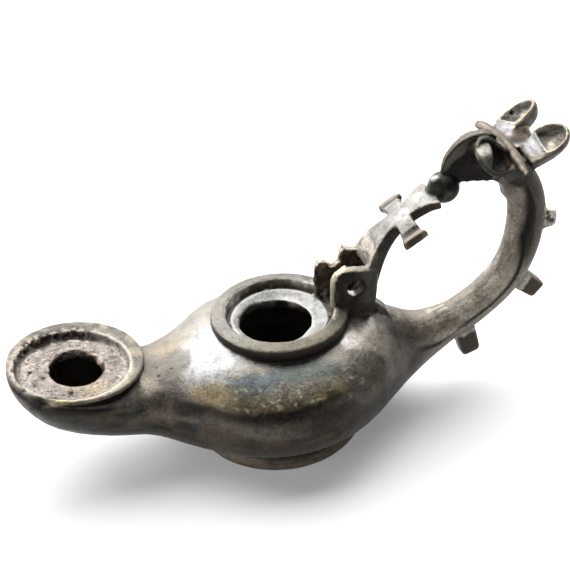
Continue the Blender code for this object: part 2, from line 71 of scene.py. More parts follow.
HOLE_SHIFT = 1.3  # the filling hole is this much nearer the nozzle than its ring
HOLE_R = 10.7
RING = np.array((middle("filler_mouth").x + HOLE_SHIFT, 0.0, 39.7))
WICK = np.array((middle("wick_hole").x + 0.15, middle("wick_hole").y + 0.1, 34.3))
WICK_R = 7.9
WICK_OVAL = 1.08  # the wick hole is this much wider across the lamp than along it
RIM = WICK + (0.2, 2.8, 1.4)  # middle of the nozzle's round rim
RIM_TILT = math.radians(7.0)
RIM_UP = np.array((math.sin(RIM_TILT), 0.0, math.cos(RIM_TILT)))
DISC_SHIFT = (1.2, 2.0)  # the nozzle's disc is this much nearer the tip and the near side
PIN_X, PIN_Z = 18.243, 46.0  # middle of the near lug's pin hole
BALL = (46.843, 0.0, 71.5)  # middle of the ball in the beak
LOOP_X, LOOP_Z = 47.0, 50.0  # middle of the handle's loop
TOP_PEG = (81.4, 0.0, 57.9)
print("ring", RING.round(1), "wick hole", WICK.round(1), "nozzle rim", RIM.round(1))

# %% [markdown]
# ## The camera
# A lens a little longer than normal, held by hand above the nozzle's near side, so the picture
# is rolled by a few degrees. Its place is worked out from the middle of the filling ring, and it
# could as well be set by hand, but then it would not follow the ring.

# %% Set up the camera
ELEVATION = math.radians(33.76)
SWING = math.radians(-13.98)
ROLL = math.radians(2.96)
DISTANCE = 296.9
OFF_AIM = (2.12, 7.31)  # how far to the right of the ring and above it the camera aims
LENS = 63.16

level = Vector((math.cos(SWING), math.sin(SWING), 0))
back = Vector((math.sin(SWING), -math.cos(SWING), 0)) * math.cos(ELEVATION)
back.z = math.sin(ELEVATION)
above = back.cross(level)
eye = Vector(RING) + level * OFF_AIM[0] + above * OFF_AIM[1] + back * DISTANCE
right = level * math.cos(ROLL) - above * math.sin(ROLL)
up = level * math.sin(ROLL) + above * math.cos(ROLL)

camera = bpy.data.objects.new("camera", bpy.data.cameras.new("camera"))
camera.data.sensor_width = 36.0
camera.data.lens = LENS
camera.data.clip_start = 0.01
camera.matrix_world = Matrix((right, up, back)).transposed().to_4x4()
camera.location = eye * MM
bpy.context.scene.collection.objects.link(camera)
bpy.context.scene.camera = camera
print("camera at", [round(c, 1) for c in eye], "mm")

# %% [markdown]
# ## The floor and the room
# Old bronze is nearly black until something bright is mirrored in it. The floor is pale paper that
# glows faintly, as on a light table, and shows in the underside of the belly. The room is dim, so
# that the near sides, which mirror it, stay dark.

# %% Lay the floor and dim the room
PAPER = {
    "Base Color": (0.36, 0.36, 0.36, 1),
    "Roughness": 0.9,
    "Emission Color": (1, 1, 1, 1),
    "Emission Strength": 0.22,
}

bpy.ops.mesh.primitive_plane_add(size=6.0, location=(0, 0, 0))
floor = bpy.context.object
floor.name = "floor"
paper = bpy.data.materials.new("floor_paper")
paper.use_nodes = True
for name, value in PAPER.items():
    paper.node_tree.nodes["Principled BSDF"].inputs[name].default_value = value
floor.data.materials.append(paper)

room = bpy.data.worlds.new("room")
room.use_nodes = True
room.node_tree.nodes["Background"].inputs["Color"].default_value = (0.9, 0.95, 1.0, 1)
room.node_tree.nodes["Background"].inputs["Strength"].default_value = 0.13
bpy.context.scene.world = room
bpy.context.scene.view_settings.view_transform = "Standard"
print("floor", tuple(round(side, 1) for side in floor.dimensions), "m")

# %% [markdown]
# ## The lights
# One wide soft light hangs above and behind the lamp, so that every face that looks up turns
# silvery. Small lamps would give hard sparks on the metal, so all three lights are panels.

# %% Hang the lights


def soft_light(name, towards, distance, size, power):
    """A wide soft light, in the direction towards from the lamp's middle, facing the lamp."""
    panel = bpy.data.lights.new(name, "AREA")
    panel.shape = "RECTANGLE"
    panel.size, panel.size_y = size
    panel.energy = power
    holder = bpy.data.objects.new(name, panel)
    direction = Vector(towards).normalized()
    holder.location = Vector((0, 0, 0.04)) + direction * distance
    holder.rotation_euler = direction.to_track_quat("Z", "Y").to_euler()
    bpy.context.scene.collection.objects.link(holder)
    print(name, power, "W")


soft_light("overhead_softbox", (0.0, 0.55, 0.83), 0.8, (1.5, 1.05), 46.0)
soft_light("back_softbox", (-0.45, 0.85, 0.25), 1.0, (1.0, 0.5), 8.0)
soft_light("left_panel", (-0.93, -0.20, 0.30), 1.0, (0.6, 0.6), 5.0)

# %% [markdown]
# ## A pattern for the skin
# The solid is made of loose flat triangles. It could be painted as it is, but its facets would show
# in every reflection. So a copy of it, like a founder's pattern, is merged and shaded smooth except
# across its sharp edges, and the skin is taken from that copy.

# %% Copy the casting and merge its loose triangles
SHARP = math.radians(38)
MERGE = 0.004


def only(obj):
    """Make obj the one selected and active object."""
    bpy.ops.object.select_all(action="DESELECT")
    obj.select_set(True)
    bpy.context.view_layer.objects.active = obj


casting = frame["nodes"]["lamp"]
pattern = bpy.data.objects.new("pattern", casting.data.copy())
bpy.context.scene.collection.objects.link(pattern)
only(pattern)
bpy.ops.mesh.customdata_custom_splitnormals_clear()
bpy.ops.object.mode_set(mode="EDIT")
bpy.ops.mesh.select_all(action="SELECT")
bpy.ops.mesh.remove_doubles(threshold=MERGE * MM)
bpy.ops.object.mode_set(mode="OBJECT")
bpy.ops.object.shade_smooth_by_angle(angle=SHARP)
print("pattern:", len(pattern.data.vertices), "points,", len(pattern.data.polygons), "triangles")

# %% [markdown]
# ## A net fine enough to press into
# Wax takes a thumb mark anywhere, but a mesh takes one only where it has points. Subdividing the
# pattern would keep its long thin triangles, so a voxel remesh lays a fine even net over it
# instead. The whole net is then read as one table, because three hundred thousand points are too
# many to move one at a time.

# %% Remesh into a fine even net
NET = 0.42

skin = bpy.data.objects.new("cast_lamp", pattern.data.copy())
bpy.context.scene.collection.objects.link(skin)
only(skin)
net = skin.modifiers.new("net", "REMESH")
net.mode = "VOXEL"
net.voxel_size = NET * MM
bpy.ops.object.modifier_apply(modifier=net.name)
print("net:", len(skin.data.vertices), "points")

# %% Read meshes as tables


def read(items, field, width, kind=np.float32):
    """One field of a mesh's points, edges or corners, as rows of width numbers."""
    flat = np.empty(len(items) * width, kind)
    items.foreach_get(field, flat)
    return flat.reshape(-1, width)


def points_of(mesh):
    """The mesh's points as rows of millimetres."""
    return read(mesh.vertices, "co", 3).astype(float) / MM


def normals_of(mesh):
    """The way out of the surface at each point."""
    return read(mesh.vertex_normals, "vector", 3).astype(float)


def triangles_of(mesh):
    """The three points of each triangle, by number."""
    return read(mesh.loops, "vertex_index", 1, np.int32).reshape(-1, 3)


def put_back(mesh, points):
    """Give the mesh its moved points."""
    mesh.vertices.foreach_set("co", (points * MM).astype(np.float32).ravel())
    mesh.update()


pattern_points = points_of(pattern.data)
triangles = triangles_of(pattern.data)
slopes = read(pattern.data.corner_normals, "vector", 3).astype(float).reshape(-1, 3, 3)
points = points_of(skin.data)
print("read", len(triangles), "triangles and", len(points), "points")

# %% [markdown]
# ## From flat faces to curved ones
# Each point of the net now lies on a flat triangle. The slopes at that triangle's corners tell
# which curved surface it stands for, so the point is pushed out onto it. Smoothing alone could
# round the facets too, but it would make the thin parts thinner.

# %% Find each point's triangle and its share of the three corners
tree = BVHTree.FromPolygons(pattern_points.tolist(), triangles.tolist())
nearest = [tree.find_nearest(p) for p in points.tolist()]
feet = np.array([tuple(hit[0]) for hit in nearest])
faces = np.array([hit[2] for hit in nearest])
a, b, c = (pattern_points[triangles[faces, k]] for k in range(3))
across = np.cross(b - a, c - a)
area = (across * across).sum(1)
share_b = (np.cross(feet - a, c - a) * across).sum(1) / area
share_c = (np.cross(b - a, feet - a) * across).sum(1) / area
shares = np.stack((1 - share_b - share_c, share_b, share_c), 1)
off_pattern = np.linalg.norm(points - feet, axis=1)
print("points lie within", round(float(off_pattern.max()), 2), "mm of the pattern")

# %% Push the net onto the curved surface
LIFT_SHARE = 0.75
LIFT_MOST = 0.6

curved = np.zeros_like(points)
for k in range(3):
    corner = pattern_points[triangles[faces, k]]
    slope = slopes[faces, k]
    flat_on = feet - ((feet - corner) * slope).sum(1)[:, None] * slope
    curved += shares[:, k, None] * flat_on
lift = LIFT_SHARE * (curved - feet)
far = np.linalg.norm(lift, axis=1)
lift *= np.minimum(1, LIFT_MOST / np.maximum(far, 1e-6))[:, None]
points += lift
print("curved out, mm: mostly under", np.percentile(far, 95).round(2), "and at most", far.max().round(2))

# %% [markdown]
# ## Wear
# Centuries of hands and ground have rounded the edges of the casting, while its open surfaces are
# fair and smooth. A bevel can't follow edges that fade, so the net is relaxed instead: each round
# draws every point towards the middle of its neighbours, a little near the sharp edges and much
# more away from them.

# %% A relaxing tool


def joined(mesh):
    """Every edge read both ways: a point, and the point that it is joined to."""
    pairs = read(mesh.edges, "vertices", 2, np.int32)
    return np.concatenate((pairs[:, 0], pairs[:, 1])), np.concatenate((pairs[:, 1], pairs[:, 0]))


def neighbours_mean(values):
    """For each point, the mean of values over the points that it is joined to."""
    count = np.maximum(np.bincount(ends, minlength=len(values)), 1)
    columns = [np.bincount(ends, values[others, k], len(values)) / count for k in range(values.shape[1])]
    return np.stack(columns, 1)


def smooth(points, weight):
    """Draw each point towards the middle of its neighbours by weight."""
    return points + weight * (neighbours_mean(points) - points)


ends, others = joined(skin.data)
print(len(ends) // 2, "edges in the net")

# %% Mark the sharp edges
MARK_STEP = 0.6

sharp_flags = read(pattern.data.attributes["sharp_edge"].data, "value", 1, bool)[:, 0]
sharp_edges = read(pattern.data.edges, "vertices", 2, np.int32)[sharp_flags]
marks = []
for start, end in zip(pattern_points[sharp_edges[:, 0]], pattern_points[sharp_edges[:, 1]]):
    steps = max(2, int(np.linalg.norm(end - start) / MARK_STEP) + 1)
    marks += [start + (end - start) * s for s in np.linspace(0, 1, steps)]
edge_tree = KDTree(len(marks))
for index, mark in enumerate(marks):
    edge_tree.insert(mark, index)
edge_tree.balance()
edge_distance = np.array([edge_tree.find(p)[2] for p in points.tolist()])
print(len(marks), "marks along the sharp edges")

# %% Relax the net
EDGE_KEPT = 0.8  # nearer an edge than this, only the last few rounds reach
EDGE_FADE = 1.6
OPEN_ROUNDS = 40
LAST_ROUNDS = 3

open_share = np.clip((edge_distance - EDGE_KEPT) / EDGE_FADE, 0, 1)[:, None]
for _ in range(OPEN_ROUNDS):
    points = smooth(points, 0.5 * open_share)
    points = smooth(points, -0.52 * open_share)  # growing back a little more keeps the size
for _ in range(LAST_ROUNDS):
    points = smooth(points, 0.45)
print("relaxed", int((open_share > 0.5).sum()), "points of the open surfaces")

# %% [markdown]
# ## Where it is worn round
# The three pegs on the handle's back, the ends of the cross's arms and the throat under the head
# have lost their edges altogether. They could be modelled rounder, but the wear is on these places
# alone, so the same tool goes over them again. A mask is a number from 0 to 1 for each point, and
# says where a tool works and how much.

# %% Soft steps for masks


def ease(values, low, high):
    """0 below low, 1 above high, and a soft step between; high may be below low."""
    t = np.clip((values - low) / (high - low), 0, 1)
    return t * t * (3 - 2 * t)


def between(values, low, high):
    """True where values are more than low and less than high."""
    return (values > low) & (values < high)


print("half way up a step:", ease(0.5, 0, 1))

# %% Round the pegs, the arms' ends and the throat
ROUNDS = 9

x, y, z = points.T
pegs = ease(np.hypot(x - LOOP_X, z - LOOP_Z), 31.5, 33.5) * (x > 50) * (z < 70)
throat = ease(np.linalg.norm(points - (65.0, 0.0, 69.5), axis=1), 7.0, 4.5)
arm_ends = ease(np.abs(y), 9.0, 10.0) * between(x, 28, 42) * between(z, 57, 70)
worn_round = np.clip(pegs + throat + 0.5 * arm_ends, 0, 1)
for _ in range(ROUNDS):
    for place in (throat, throat, worn_round):
        points = smooth(points, 0.6 * place[:, None])
print("rounded", int((worn_round > 0.5).sum()), "points more")

# %% [markdown]
# ## Unevenness
# A casting is never true: its surfaces wander by a tenth of a millimetre. A noise texture could
# displace it, but here the noise is worked out in code, smooth over a chosen grain, because it
# breaks up the patina as well later.

# %% Smooth noise in space
LATTICE_SIDE = 32
rng = np.random.default_rng(7)
LATTICE = rng.uniform(-1, 1, (LATTICE_SIDE,) * 3)


def wander(places, grain, shift=0.0):
    """Smooth noise between -1 and 1 at each place, changing over about grain millimetres."""
    q = places / grain + shift
    base = np.floor(q).astype(int)
    t = q - base
    t = t * t * (3 - 2 * t)
    total = np.zeros(len(q))
    for i in (0, 1):
        for j in (0, 1):
            for k in (0, 1):
                wx = t[:, 0] if i else 1 - t[:, 0]
                wy = t[:, 1] if j else 1 - t[:, 1]
                wz = t[:, 2] if k else 1 - t[:, 2]
                cell = (base + (i, j, k)) % LATTICE_SIDE
                total += wx * wy * wz * LATTICE[cell[:, 0], cell[:, 1], cell[:, 2]]
    return total


put_back(skin.data, points)
outward = normals_of(skin.data)
uneven = 0.10 * wander(points, 9.0) + 0.035 * wander(points, 2.6, 5.3)
points += outward * uneven[:, None]
print("surface wanders by up to", round(float(np.abs(uneven).max()), 2), "mm")

# %% [markdown]
# ## Marks of use and age
# Some marks belong to this lamp alone: pits in the nozzle's disc, a chip in its rim, pits in the
# neck, the lugs and the ears, and a top peg eaten all over. They could be cut with Booleans, but an
# eaten edge has no clean outline, so each is pressed into the net with one small tool.

# %% A pressing tool


def press(centre, reach, depth, stretch=(1, 1, 1)):
    """Push the net in by depth at centre, fading to nothing at reach."""
    away = np.linalg.norm((points - centre) / np.array(stretch), axis=1)
    near = away < reach
    t = 1 - away[near] / reach
    points[near] -= outward[near] * (depth * t * t * (3 - 2 * t))[:, None]


def scatter_pits(centre, spread, count, largest, depth):
    """Small pits of mixed size scattered round centre."""
    for _ in range(count):
        place = centre + rng.normal(0, 1, 3) * spread
        size = largest * rng.uniform(0.45, 1.0)
        press(place, size, depth * size / largest * rng.uniform(0.6, 1.2))


# %% Pits and chips in the nozzle and the neck
scatter_pits(RIM + (-11.8, -6.6, 0.2), (2.4, 1.6, 0.5), 26, 0.9, 0.7)
scatter_pits(RIM + (-4.3, -13.4, -0.9), (1.0, 0.5, 0.3), 4, 1.0, 0.8)
scatter_pits(RIM + (24.6, -5.4, -4.5), (2.6, 2.2, 0.8), 24, 0.8, 0.35)
press(RIM + (-14.0, -12.1, 1.7), 1.6, 0.9, (1.6, 0.7, 1))
press(RIM + (-11.3, -16.8, -0.2), 2.6, 0.8, (1.6, 1, 0.9))
scatter_pits(RIM + (-11.3, -16.8, -0.2), (2.2, 0.6, 0.6), 14, 1.1, 0.7)
scatter_pits(RIM + (-14.0, 6.5, 1.2), (1.2, 3.0, 0.8), 26, 1.1, 0.6)
scatter_pits(RIM + (-6.0, 13.0, -1.0), (3.0, 1.2, 0.6), 16, 1.0, 0.5)
print("nozzle's rim pitted near", RIM.round(1))

# %% Pits on the shoulder, the strip, the ears, the top peg and the handle
scatter_pits((12.9, -15.3, 34.5), (1.6, 1.2, 0.8), 10, 0.7, 0.25)
scatter_pits((23.2, 0.6, 54.0), (0.5, 0.8, 1.0), 5, 0.9, 0.6)
scatter_pits((73.5, 12.2, 85.4), (1.0, 1.6, 0.5), 8, 1.1, 0.6)
scatter_pits((76.0, -9.5, 85.2), (0.7, 1.8, 0.8), 12, 0.9, 0.5)
scatter_pits((81.8, -1.0, 57.8), (1.2, 2.4, 1.8), 34, 1.4, 1.0)
scatter_pits((50.0, -1.2, 31.5), (9.0, 2.0, 2.5), 8, 0.8, 0.35)
print("pits pressed in six more places")

# %% Three notches in the near lug's edge
NOTCHES = 3
for step in range(NOTCHES):
    press((12.2 + 0.9 * step, -4.2, 50.6 + 0.55 * step), 0.7, 0.5, (0.5, 3.0, 0.6))
print(NOTCHES, "notches")

# %% [markdown]
# ## Small forms
# The arms of the cross end in a raised lip with a shallow groove behind it, the beak is a little
# hollow on both sides, and a bead sits on the ball. These are too small for the solid's faces. Each
# is a soft step that lifts or sinks the net, so that it grows out of the casting with no seam.

# %% The arms' lips, the hollow of the beak and the bead on the ball
x, y, z = points.T  # these follow the points as they are pushed about
arm = (np.abs(x - 34.5) < 7) & between(z, 58.5, 70)
arm_reach = np.abs(y)
swell = 0.40 * ease(np.abs(arm_reach - 10.6), 1.3, 0.0) - 0.50 * ease(np.abs(arm_reach - 8.5), 1.3, 0.0)
points += outward * (swell * arm * ease(outward[:, 2], -0.1, 0.5))[:, None]
for hand in (-1, 1):
    press((50.0, hand * 1.5, 79.6), 3.6, 0.35, (1.0, 1.0, 1.1))
    press((54.2, hand * 1.7, 81.4), 3.8, 0.4)
press((43.4, -0.8, 75.0), 2.6, -0.9)
print("raised arm ends on", int((np.abs(swell) * arm > 0.05).sum()), "points")

# %% [markdown]
# ## The eyes and the ears
# Inside each eye cup a soft lobe fills one part and leaves a dark slot beside it, and the ears are
# shallower than the solid has them. A form like this is a height over the cup's floor, so each cup
# gets axes of its own, and the points are lifted to that height along its opening.

# %% The lobe inside each eye cup


def eye_axes(hand):
    """An eye cup's opening, and each point's place along the cup, across it and out of it."""
    along = np.array((-0.46, -0.58 * hand, 0.67))
    opening = np.array((0.10, 0.67 * hand, 0.74))
    from_eye = points - (59.0, 6.5 * hand, 82.4)
    return opening, from_eye @ along, from_eye @ np.cross(along, opening) * hand, from_eye @ opening


def eye_oval(u, w):
    """0 in the middle of the cup and 1 at its rim."""
    return (u / 6.6) ** 2 + (w / 4.4) ** 2


for hand in (-1, 1):
    opening, u, w, o = eye_axes(hand)
    in_cup = ease(eye_oval(u, w), 1.15, 0.9) * ease(outward @ opening, -0.2, 0.3) * between(o, -4, 1.4)
    lobe = ease(w + 0.85 * u, -3.0, 1.8)
    height = 1.3 - 4.9 * (1 - lobe) - 0.09 * (u - 1.0) ** 2 - 0.07 * (w - 2.0) ** 2
    points += opening * (in_cup * np.clip(height - o, 0, 4))[:, None]
    print("eye lobe on", int((in_cup > 0.5).sum()), "points")

# %% The raised floors of the ears
NEAR_EAR = ((75.0, -8.8, 85.6), (-0.10, -0.37, 0.92), 6.4)
FAR_EAR = ((72.6, 7.8, 86.0), (-0.10, 0.24, 0.96), 7.4)
for centre, way, width in (NEAR_EAR, FAR_EAR):
    opening = np.array(way)
    from_ear = points - centre
    o = from_ear @ opening
    in_cup = ease(np.linalg.norm(from_ear, axis=1), width, width * 0.7)
    in_cup = in_cup * ease(outward @ opening, -0.5, 0.2) * (o < 0.5)
    points += opening * (in_cup * 0.75 * np.clip(-1.2 - o, 0, 4))[:, None]
    print("ear floor on", int((in_cup > 0.5).sum()), "points")

# %% [markdown]
# ## Broken and eaten edges
# The far lug is torn off and left rough, the flame ate the wick hole's far edge, and the filling
# hole's edge is uneven. Noise pushes the points near each edge, and a soft mask keeps it there. It
# pushes along the face for a ragged outline, and out of the face for a rough one.

# %% The torn faces of the far lug and the filled crease above the foot
torn = (y > 3.5) & between(x, 8, 23) & between(z, 41, 62)
rough = 0.45 * wander(points, 1.3, 4.1) + 0.3 * wander(points, 2.7, 1.9)
points += outward * (torn * ease(np.abs(outward[:, 1]), 0.9, 0.6) * rough)[:, None]
foot_crease = ease(np.abs(z - 4.2), 2.0, 0.4) * ease(np.hypot(x, y), 14.0, 16.0)
points += outward * (0.35 * foot_crease)[:, None]
print("far lug roughened on", int(torn.sum()), "points")

# %% The burnt edge of the wick hole
from_wick = points - WICK
wick_away = np.hypot(from_wick[:, 0], from_wick[:, 1] / WICK_OVAL)
at_edge = ease(np.abs(wick_away - WICK_R), 2.6, 0.0) * ease(np.abs(from_wick[:, 2] + 0.6), 3.4, 1.0)
ragged = wander(points, 2.9, 2.2) + 0.5 * wander(points, 1.1, 9.1)
sideways = np.stack((from_wick[:, 0], from_wick[:, 1], 0 * wick_away), 1)
sideways /= np.maximum(wick_away, 0.1)[:, None]
far_side = ease(from_wick[:, 1], -4.0, 2.0)
points += sideways * (at_edge * ragged * (0.12 + 0.75 * far_side))[:, None]
print("wick hole edge roughened on", int((at_edge > 0.1).sum()), "points")

# %% The chewed edge of the filling hole
from_hole = points - RING + (HOLE_SHIFT, 0, 0)
hole_away = np.hypot(from_hole[:, 0], from_hole[:, 1])
at_edge = ease(np.abs(hole_away - HOLE_R), 1.8, 0.0) * ease(np.abs(from_hole[:, 2] + 5.5), 3.0, 1.0)
points += from_hole * (at_edge * 0.045 * wander(points, 3.4, 6.2))[:, None] * (1, 1, 0)
print("filling hole edge chewed on", int((at_edge > 0.1).sum()), "points")

# %% [markdown]
# ## Silt
# Dirt has half filled the channel round the nozzle's disc, on its near side and towards the neck.
# It is lifted as the eyes are, towards the rim's own up, because the nozzle is tilted.

# %% Silt in the nozzle's channel


def about_rim():
    """Each point's place from the rim's middle, its height there, and how far it is from the disc's."""
    from_rim = points - RIM
    from_disc = from_rim[:, :2] + DISC_SHIFT
    return from_rim, from_rim @ RIM_UP, np.hypot(from_disc[:, 0], from_disc[:, 1])


from_rim, above_rim, disc_away = about_rim()
in_channel = ease(np.abs(disc_away - 15.4), 1.9, 1.1) * between(above_rim, -3.6, -1.4)
in_channel = in_channel * ease(outward[:, 2], -0.1, 0.4)
silted = ease(from_rim[:, 1], -3.0, -10.0) + 0.55 * ease(from_rim[:, 0], 4.0, 12.0)
points += RIM_UP * (in_channel * np.clip(silted, 0, 1) * 0.85 * (-1.35 - above_rim))[:, None]
print("channel silted on", int((in_channel * silted > 0.2).sum()), "points")

# %% [markdown]
# ## A lighter mesh
# The net has far more triangles than its flat stretches need. Decimation takes them away where they
# show least, and leaves the pits and edges fine. It comes last, because a thinned net can't be
# pressed evenly any more.

# %% Put the sculpted net back and thin it
THINNED = 196000

put_back(skin.data, points)
print("net has", sum(len(p.vertices) - 2 for p in skin.data.polygons), "triangles")
only(skin)
bpy.ops.object.modifier_add(type="TRIANGULATE")
bpy.ops.object.modifier_apply(modifier=skin.modifiers[-1].name)
thin = skin.modifiers.new("thin", "DECIMATE")
thin.ratio = THINNED / len(skin.data.polygons)
bpy.ops.object.modifier_apply(modifier=thin.name)
bpy.ops.object.shade_smooth()
print("kept", len(skin.data.polygons), "triangles")

# %% [markdown]
# ## Where dirt and shade lie and where hands rub
# Dirt settles in hollows, where painted shade is laid as well, and the raised edges are rubbed pale.
# Nodes could find both while the picture is made, but measured once on the mesh they stay with the
# shape. Short rays show how much of the room each point sees, and its neighbours show whether it
# stands on an edge or in a groove.

# %% Measure the hollows
RAYS = 10
RAY_START = 0.15  # off the surface, so that a ray can't hit its own triangle
RAY_SPREAD = 0.55
REACH = 14.0

points = points_of(skin.data)
outward = normals_of(skin.data)
ends, others = joined(skin.data)
tree = BVHTree.FromPolygons(points.tolist(), triangles_of(skin.data).tolist())
starts = points + outward * RAY_START
blocked = np.zeros(len(points))
for _ in range(RAYS):
    way = outward + rng.normal(0, RAY_SPREAD, points.shape)
    way /= np.linalg.norm(way, axis=1)[:, None]
    hits = [tree.ray_cast(s, w, REACH)[3] for s, w in zip(starts.tolist(), way.tolist())]
    blocked += [0.0 if h is None else 1 - 0.5 * h / REACH for h in hits]
hollow = blocked / RAYS
for _ in range(4):
    hollow = neighbours_mean(hollow[:, None])[:, 0]
print("hollow", hollow.min().round(2), "to", hollow.max().round(2))

# %% Measure the edges and grooves
bend = ((points - neighbours_mean(points)) * outward).sum(1)
for _ in range(2):
    bend = neighbours_mean(bend[:, None])[:, 0]
print("bend, mm", np.percentile(bend, (5, 50, 95)).round(3))

# %% [markdown]
# ## Patina, light and shade, painted point by point
# The patina differs from place to place: olive and blue-green films on the belly, ochre on the
# neck, a pinkish lime crust on the nozzle's disc, soot in its channel. A picture wrapped round the
# lamp could show that, but a layer of colours on the points needs no seams. Colours are laid one
# over another, as with thin washes, and a second layer holds how rough and earthy each place is.
# Light and shade are painted into the colours as well: pale where the lamp looks up, dark on its
# sides and under its parts.

# %% Brushes
BROWN = (0.075, 0.066, 0.056)
paint = np.tile(np.array(BROWN), (len(points), 1))
crust = np.zeros(len(points))
breakup = 0.6 * wander(points, 4.0, 1.7) + 0.4 * wander(points, 1.6, 4.4)


def lay(colour, mask, strength=1.0, crusty=0.0):
    """Lay colour over the paint where mask is high."""
    global paint, crust
    share = np.clip(mask * strength, 0, 1)
    paint = paint * (1 - share[:, None]) + np.array(colour) * share[:, None]
    crust = crust * (1 - share) + crusty * share


def blob(centre, reach, stretch=(1, 1, 1), ragged=0.35):
    """A soft patch with a broken edge."""
    away = np.linalg.norm((points - centre) / np.array(stretch), axis=1) / reach
    return ease(away + ragged * breakup, 1.15, 0.45)


def mottle(grain, shift, low, high, stretch=(1, 1, 1)):
    """Patches about grain millimetres wide; stretch below 1 draws them out that way."""
    return ease(wander(points * stretch, grain, shift), low, high)


def tell(what, mask):
    """Print how much of the skin a mask covers."""
    print(what, "on", round(100 * float(np.mean(mask > 0.1)), 1), "% of the skin")


# %% Ways to find a place
x, y, z = points.T
looks_up = outward[:, 2]
looks_near = -outward[:, 1]
looks_aside = np.abs(outward[:, 1])
from_ring = points - RING
ring_away = np.hypot(from_ring[:, 0], from_ring[:, 1])
from_rim, above_rim, disc_away = about_rim()
rim_x, rim_y = from_rim[:, 0], from_rim[:, 1]
rim_away = np.hypot(rim_x, rim_y)
streaks = wander(points * (0.35, 1, 1), 2.6, 14.2)
tell("faces that look up", looks_up)

# %% The ground colours, with painted light and shade: pale where the lamp looks up, dark below and on its sides
facing = looks_up + 0.12 * breakup
lay((0.115, 0.106, 0.094), ease(facing, 0.45, 0.85))
lay((0.026, 0.0205, 0.016), ease(facing, 0.35, 0.0))
lay((0.012, 0.009, 0.006), ease(streaks, 0.05, 0.5) * ease(looks_up, 0.4, 0.1), 0.6)
lay((0.040, 0.030, 0.018), ease(-streaks, 0.15, 0.6) * ease(looks_up, 0.4, 0.1), 0.5)
lay((0.10, 0.09, 0.065), ease(breakup, 0.0, 0.5) * ease(looks_up, 0.1, 0.6), 0.3)
lay((0.050, 0.055, 0.054), ease(-breakup, 0.05, 0.5) * ease(looks_up, 0.0, 0.4), 0.25)
print("ground colour, mean", paint.mean(0).round(3))

# %% [markdown]
# ## The belly
# The near shoulder has a painted silvery highlight on top, then blue-green, then olive and ochre
# with specks of lime, down to a nearly black line, a painted dark reflection and shade, where the
# belly turns under. The line is a height that wanders a little, and the films are blobs drawn out
# along the belly, so that they look run and wiped.

# %% A painted silvery highlight, then blue-green and olive films on the near shoulder
# A painted highlight: the silvery patch on top of the near shoulder
lay((0.20, 0.205, 0.215), blob((-26.0, -8.0, 35.5), 12.0, (1.1, 1.0, 0.8), 0.2), 0.8)
lay((0.036, 0.048, 0.052), blob((-17.0, -22.4, 32.2), 6.5, (1.7, 0.8, 0.65), 0.7), 0.85)
lay((0.045, 0.055, 0.050), blob((-2.0, -22.8, 33.6), 7.5, (1.6, 0.6, 0.7)), 0.8)
band = ease(y, -12.0, -19.0) * ease(z, 26.4, 27.6)
band = band * ease(z + 0.9 * breakup, 32.6, 29.0) * ease(x, -38.0, -31.0)
lay((0.058, 0.046, 0.026), band * ease(x, 14.0, 2.0), 0.9, 0.15)
lay((0.125, 0.098, 0.058), blob((-29.0, -20.0, 29.2), 5.5, (1.9, 0.9, 0.55), 0.7), 0.8, 0.15)
lay((0.016, 0.016, 0.010), band * ease(x, -26.0, -18.0) * ease(streaks, 0.0, 0.4), 0.7, 0.2)
golden = mottle(1.5, 3.9, 0.15, 0.5, (0.6, 1, 1)) * ease(x, -24.0, -14.0) * ease(x, 12.0, 4.0)
lay((0.115, 0.098, 0.046), band * golden, 0.6, 0.3)
lime = ease(y, -18.0, -22.0) * ease(z, 25.5, 27.5) * ease(z, 33.0, 31.0) * ease(x, -30, -25)
lay((0.28, 0.26, 0.18), lime * ease(x, 18, 8) * mottle(0.9, 8.8, 0.55, 0.7), 0.6, 0.4)
tell("olive film", band)

# %% The dark line where the belly turns under: a painted dark reflection and shade
# Painted shade at the neck's end of the line, then the painted line itself
lay((0.020, 0.015, 0.011), blob((-36.5, -17.5, 24.5), 5.0, (2.4, 0.9, 0.5), 0.15), 0.9)
below_line = 26.7 + 0.9 * ease(x, -30.0, -8.0) + 0.35 * wander(points, 9.0, 3.1) - z
painted_dark_line = ease(below_line, -0.9, 0.3) * ease(below_line, 4.2, 0.8)
lay((0.006, 0.004, 0.003), painted_dark_line * ease(y, -14.0, -18.0) * ease(x, 12.0, -8.0), 0.92)
lay((0.050, 0.040, 0.030), blob((-30.0, -25.0, 17.5), 8.0, (1.3, 1.0, 0.8), 0.5), 0.8, 0.2)
tell("dark line", painted_dark_line)

# %% A painted highlight by the near lug, the brown behind it, and painted shade lower down
# Painted highlights on the shoulder by the near lug
lay((0.36, 0.34, 0.33), blob((13.4, -14.8, 34.6), 4.5, (1.0, 1.0, 0.7), 0.5), 0.9)
lay((0.30, 0.27, 0.23), blob((22.0, -14.5, 32.0), 8.0, (1.0, 0.9, 0.8)), 0.8)
lay((0.105, 0.092, 0.075), blob((17.0, -20.5, 30.0), 6.0, (1.0, 0.9, 0.6)), 0.8)
lay((0.042, 0.034, 0.024), blob((20.0, -24.5, 26.0), 6.0, (0.9, 0.9, 0.5)), 0.8)
# Painted shade where the handle leaves the belly, and low on the belly's right side
lay((0.024, 0.020, 0.016), blob((32.0, -4.0, 29.5), 6.5, (1.2, 1.2, 0.7)), 0.85)
lay((0.010, 0.008, 0.006), blob((3.0, -32.5, 22.5), 9.0, (1.6, 0.6, 0.5)), 0.6)
print("shoulder painted, mean", paint.mean(0).round(3))

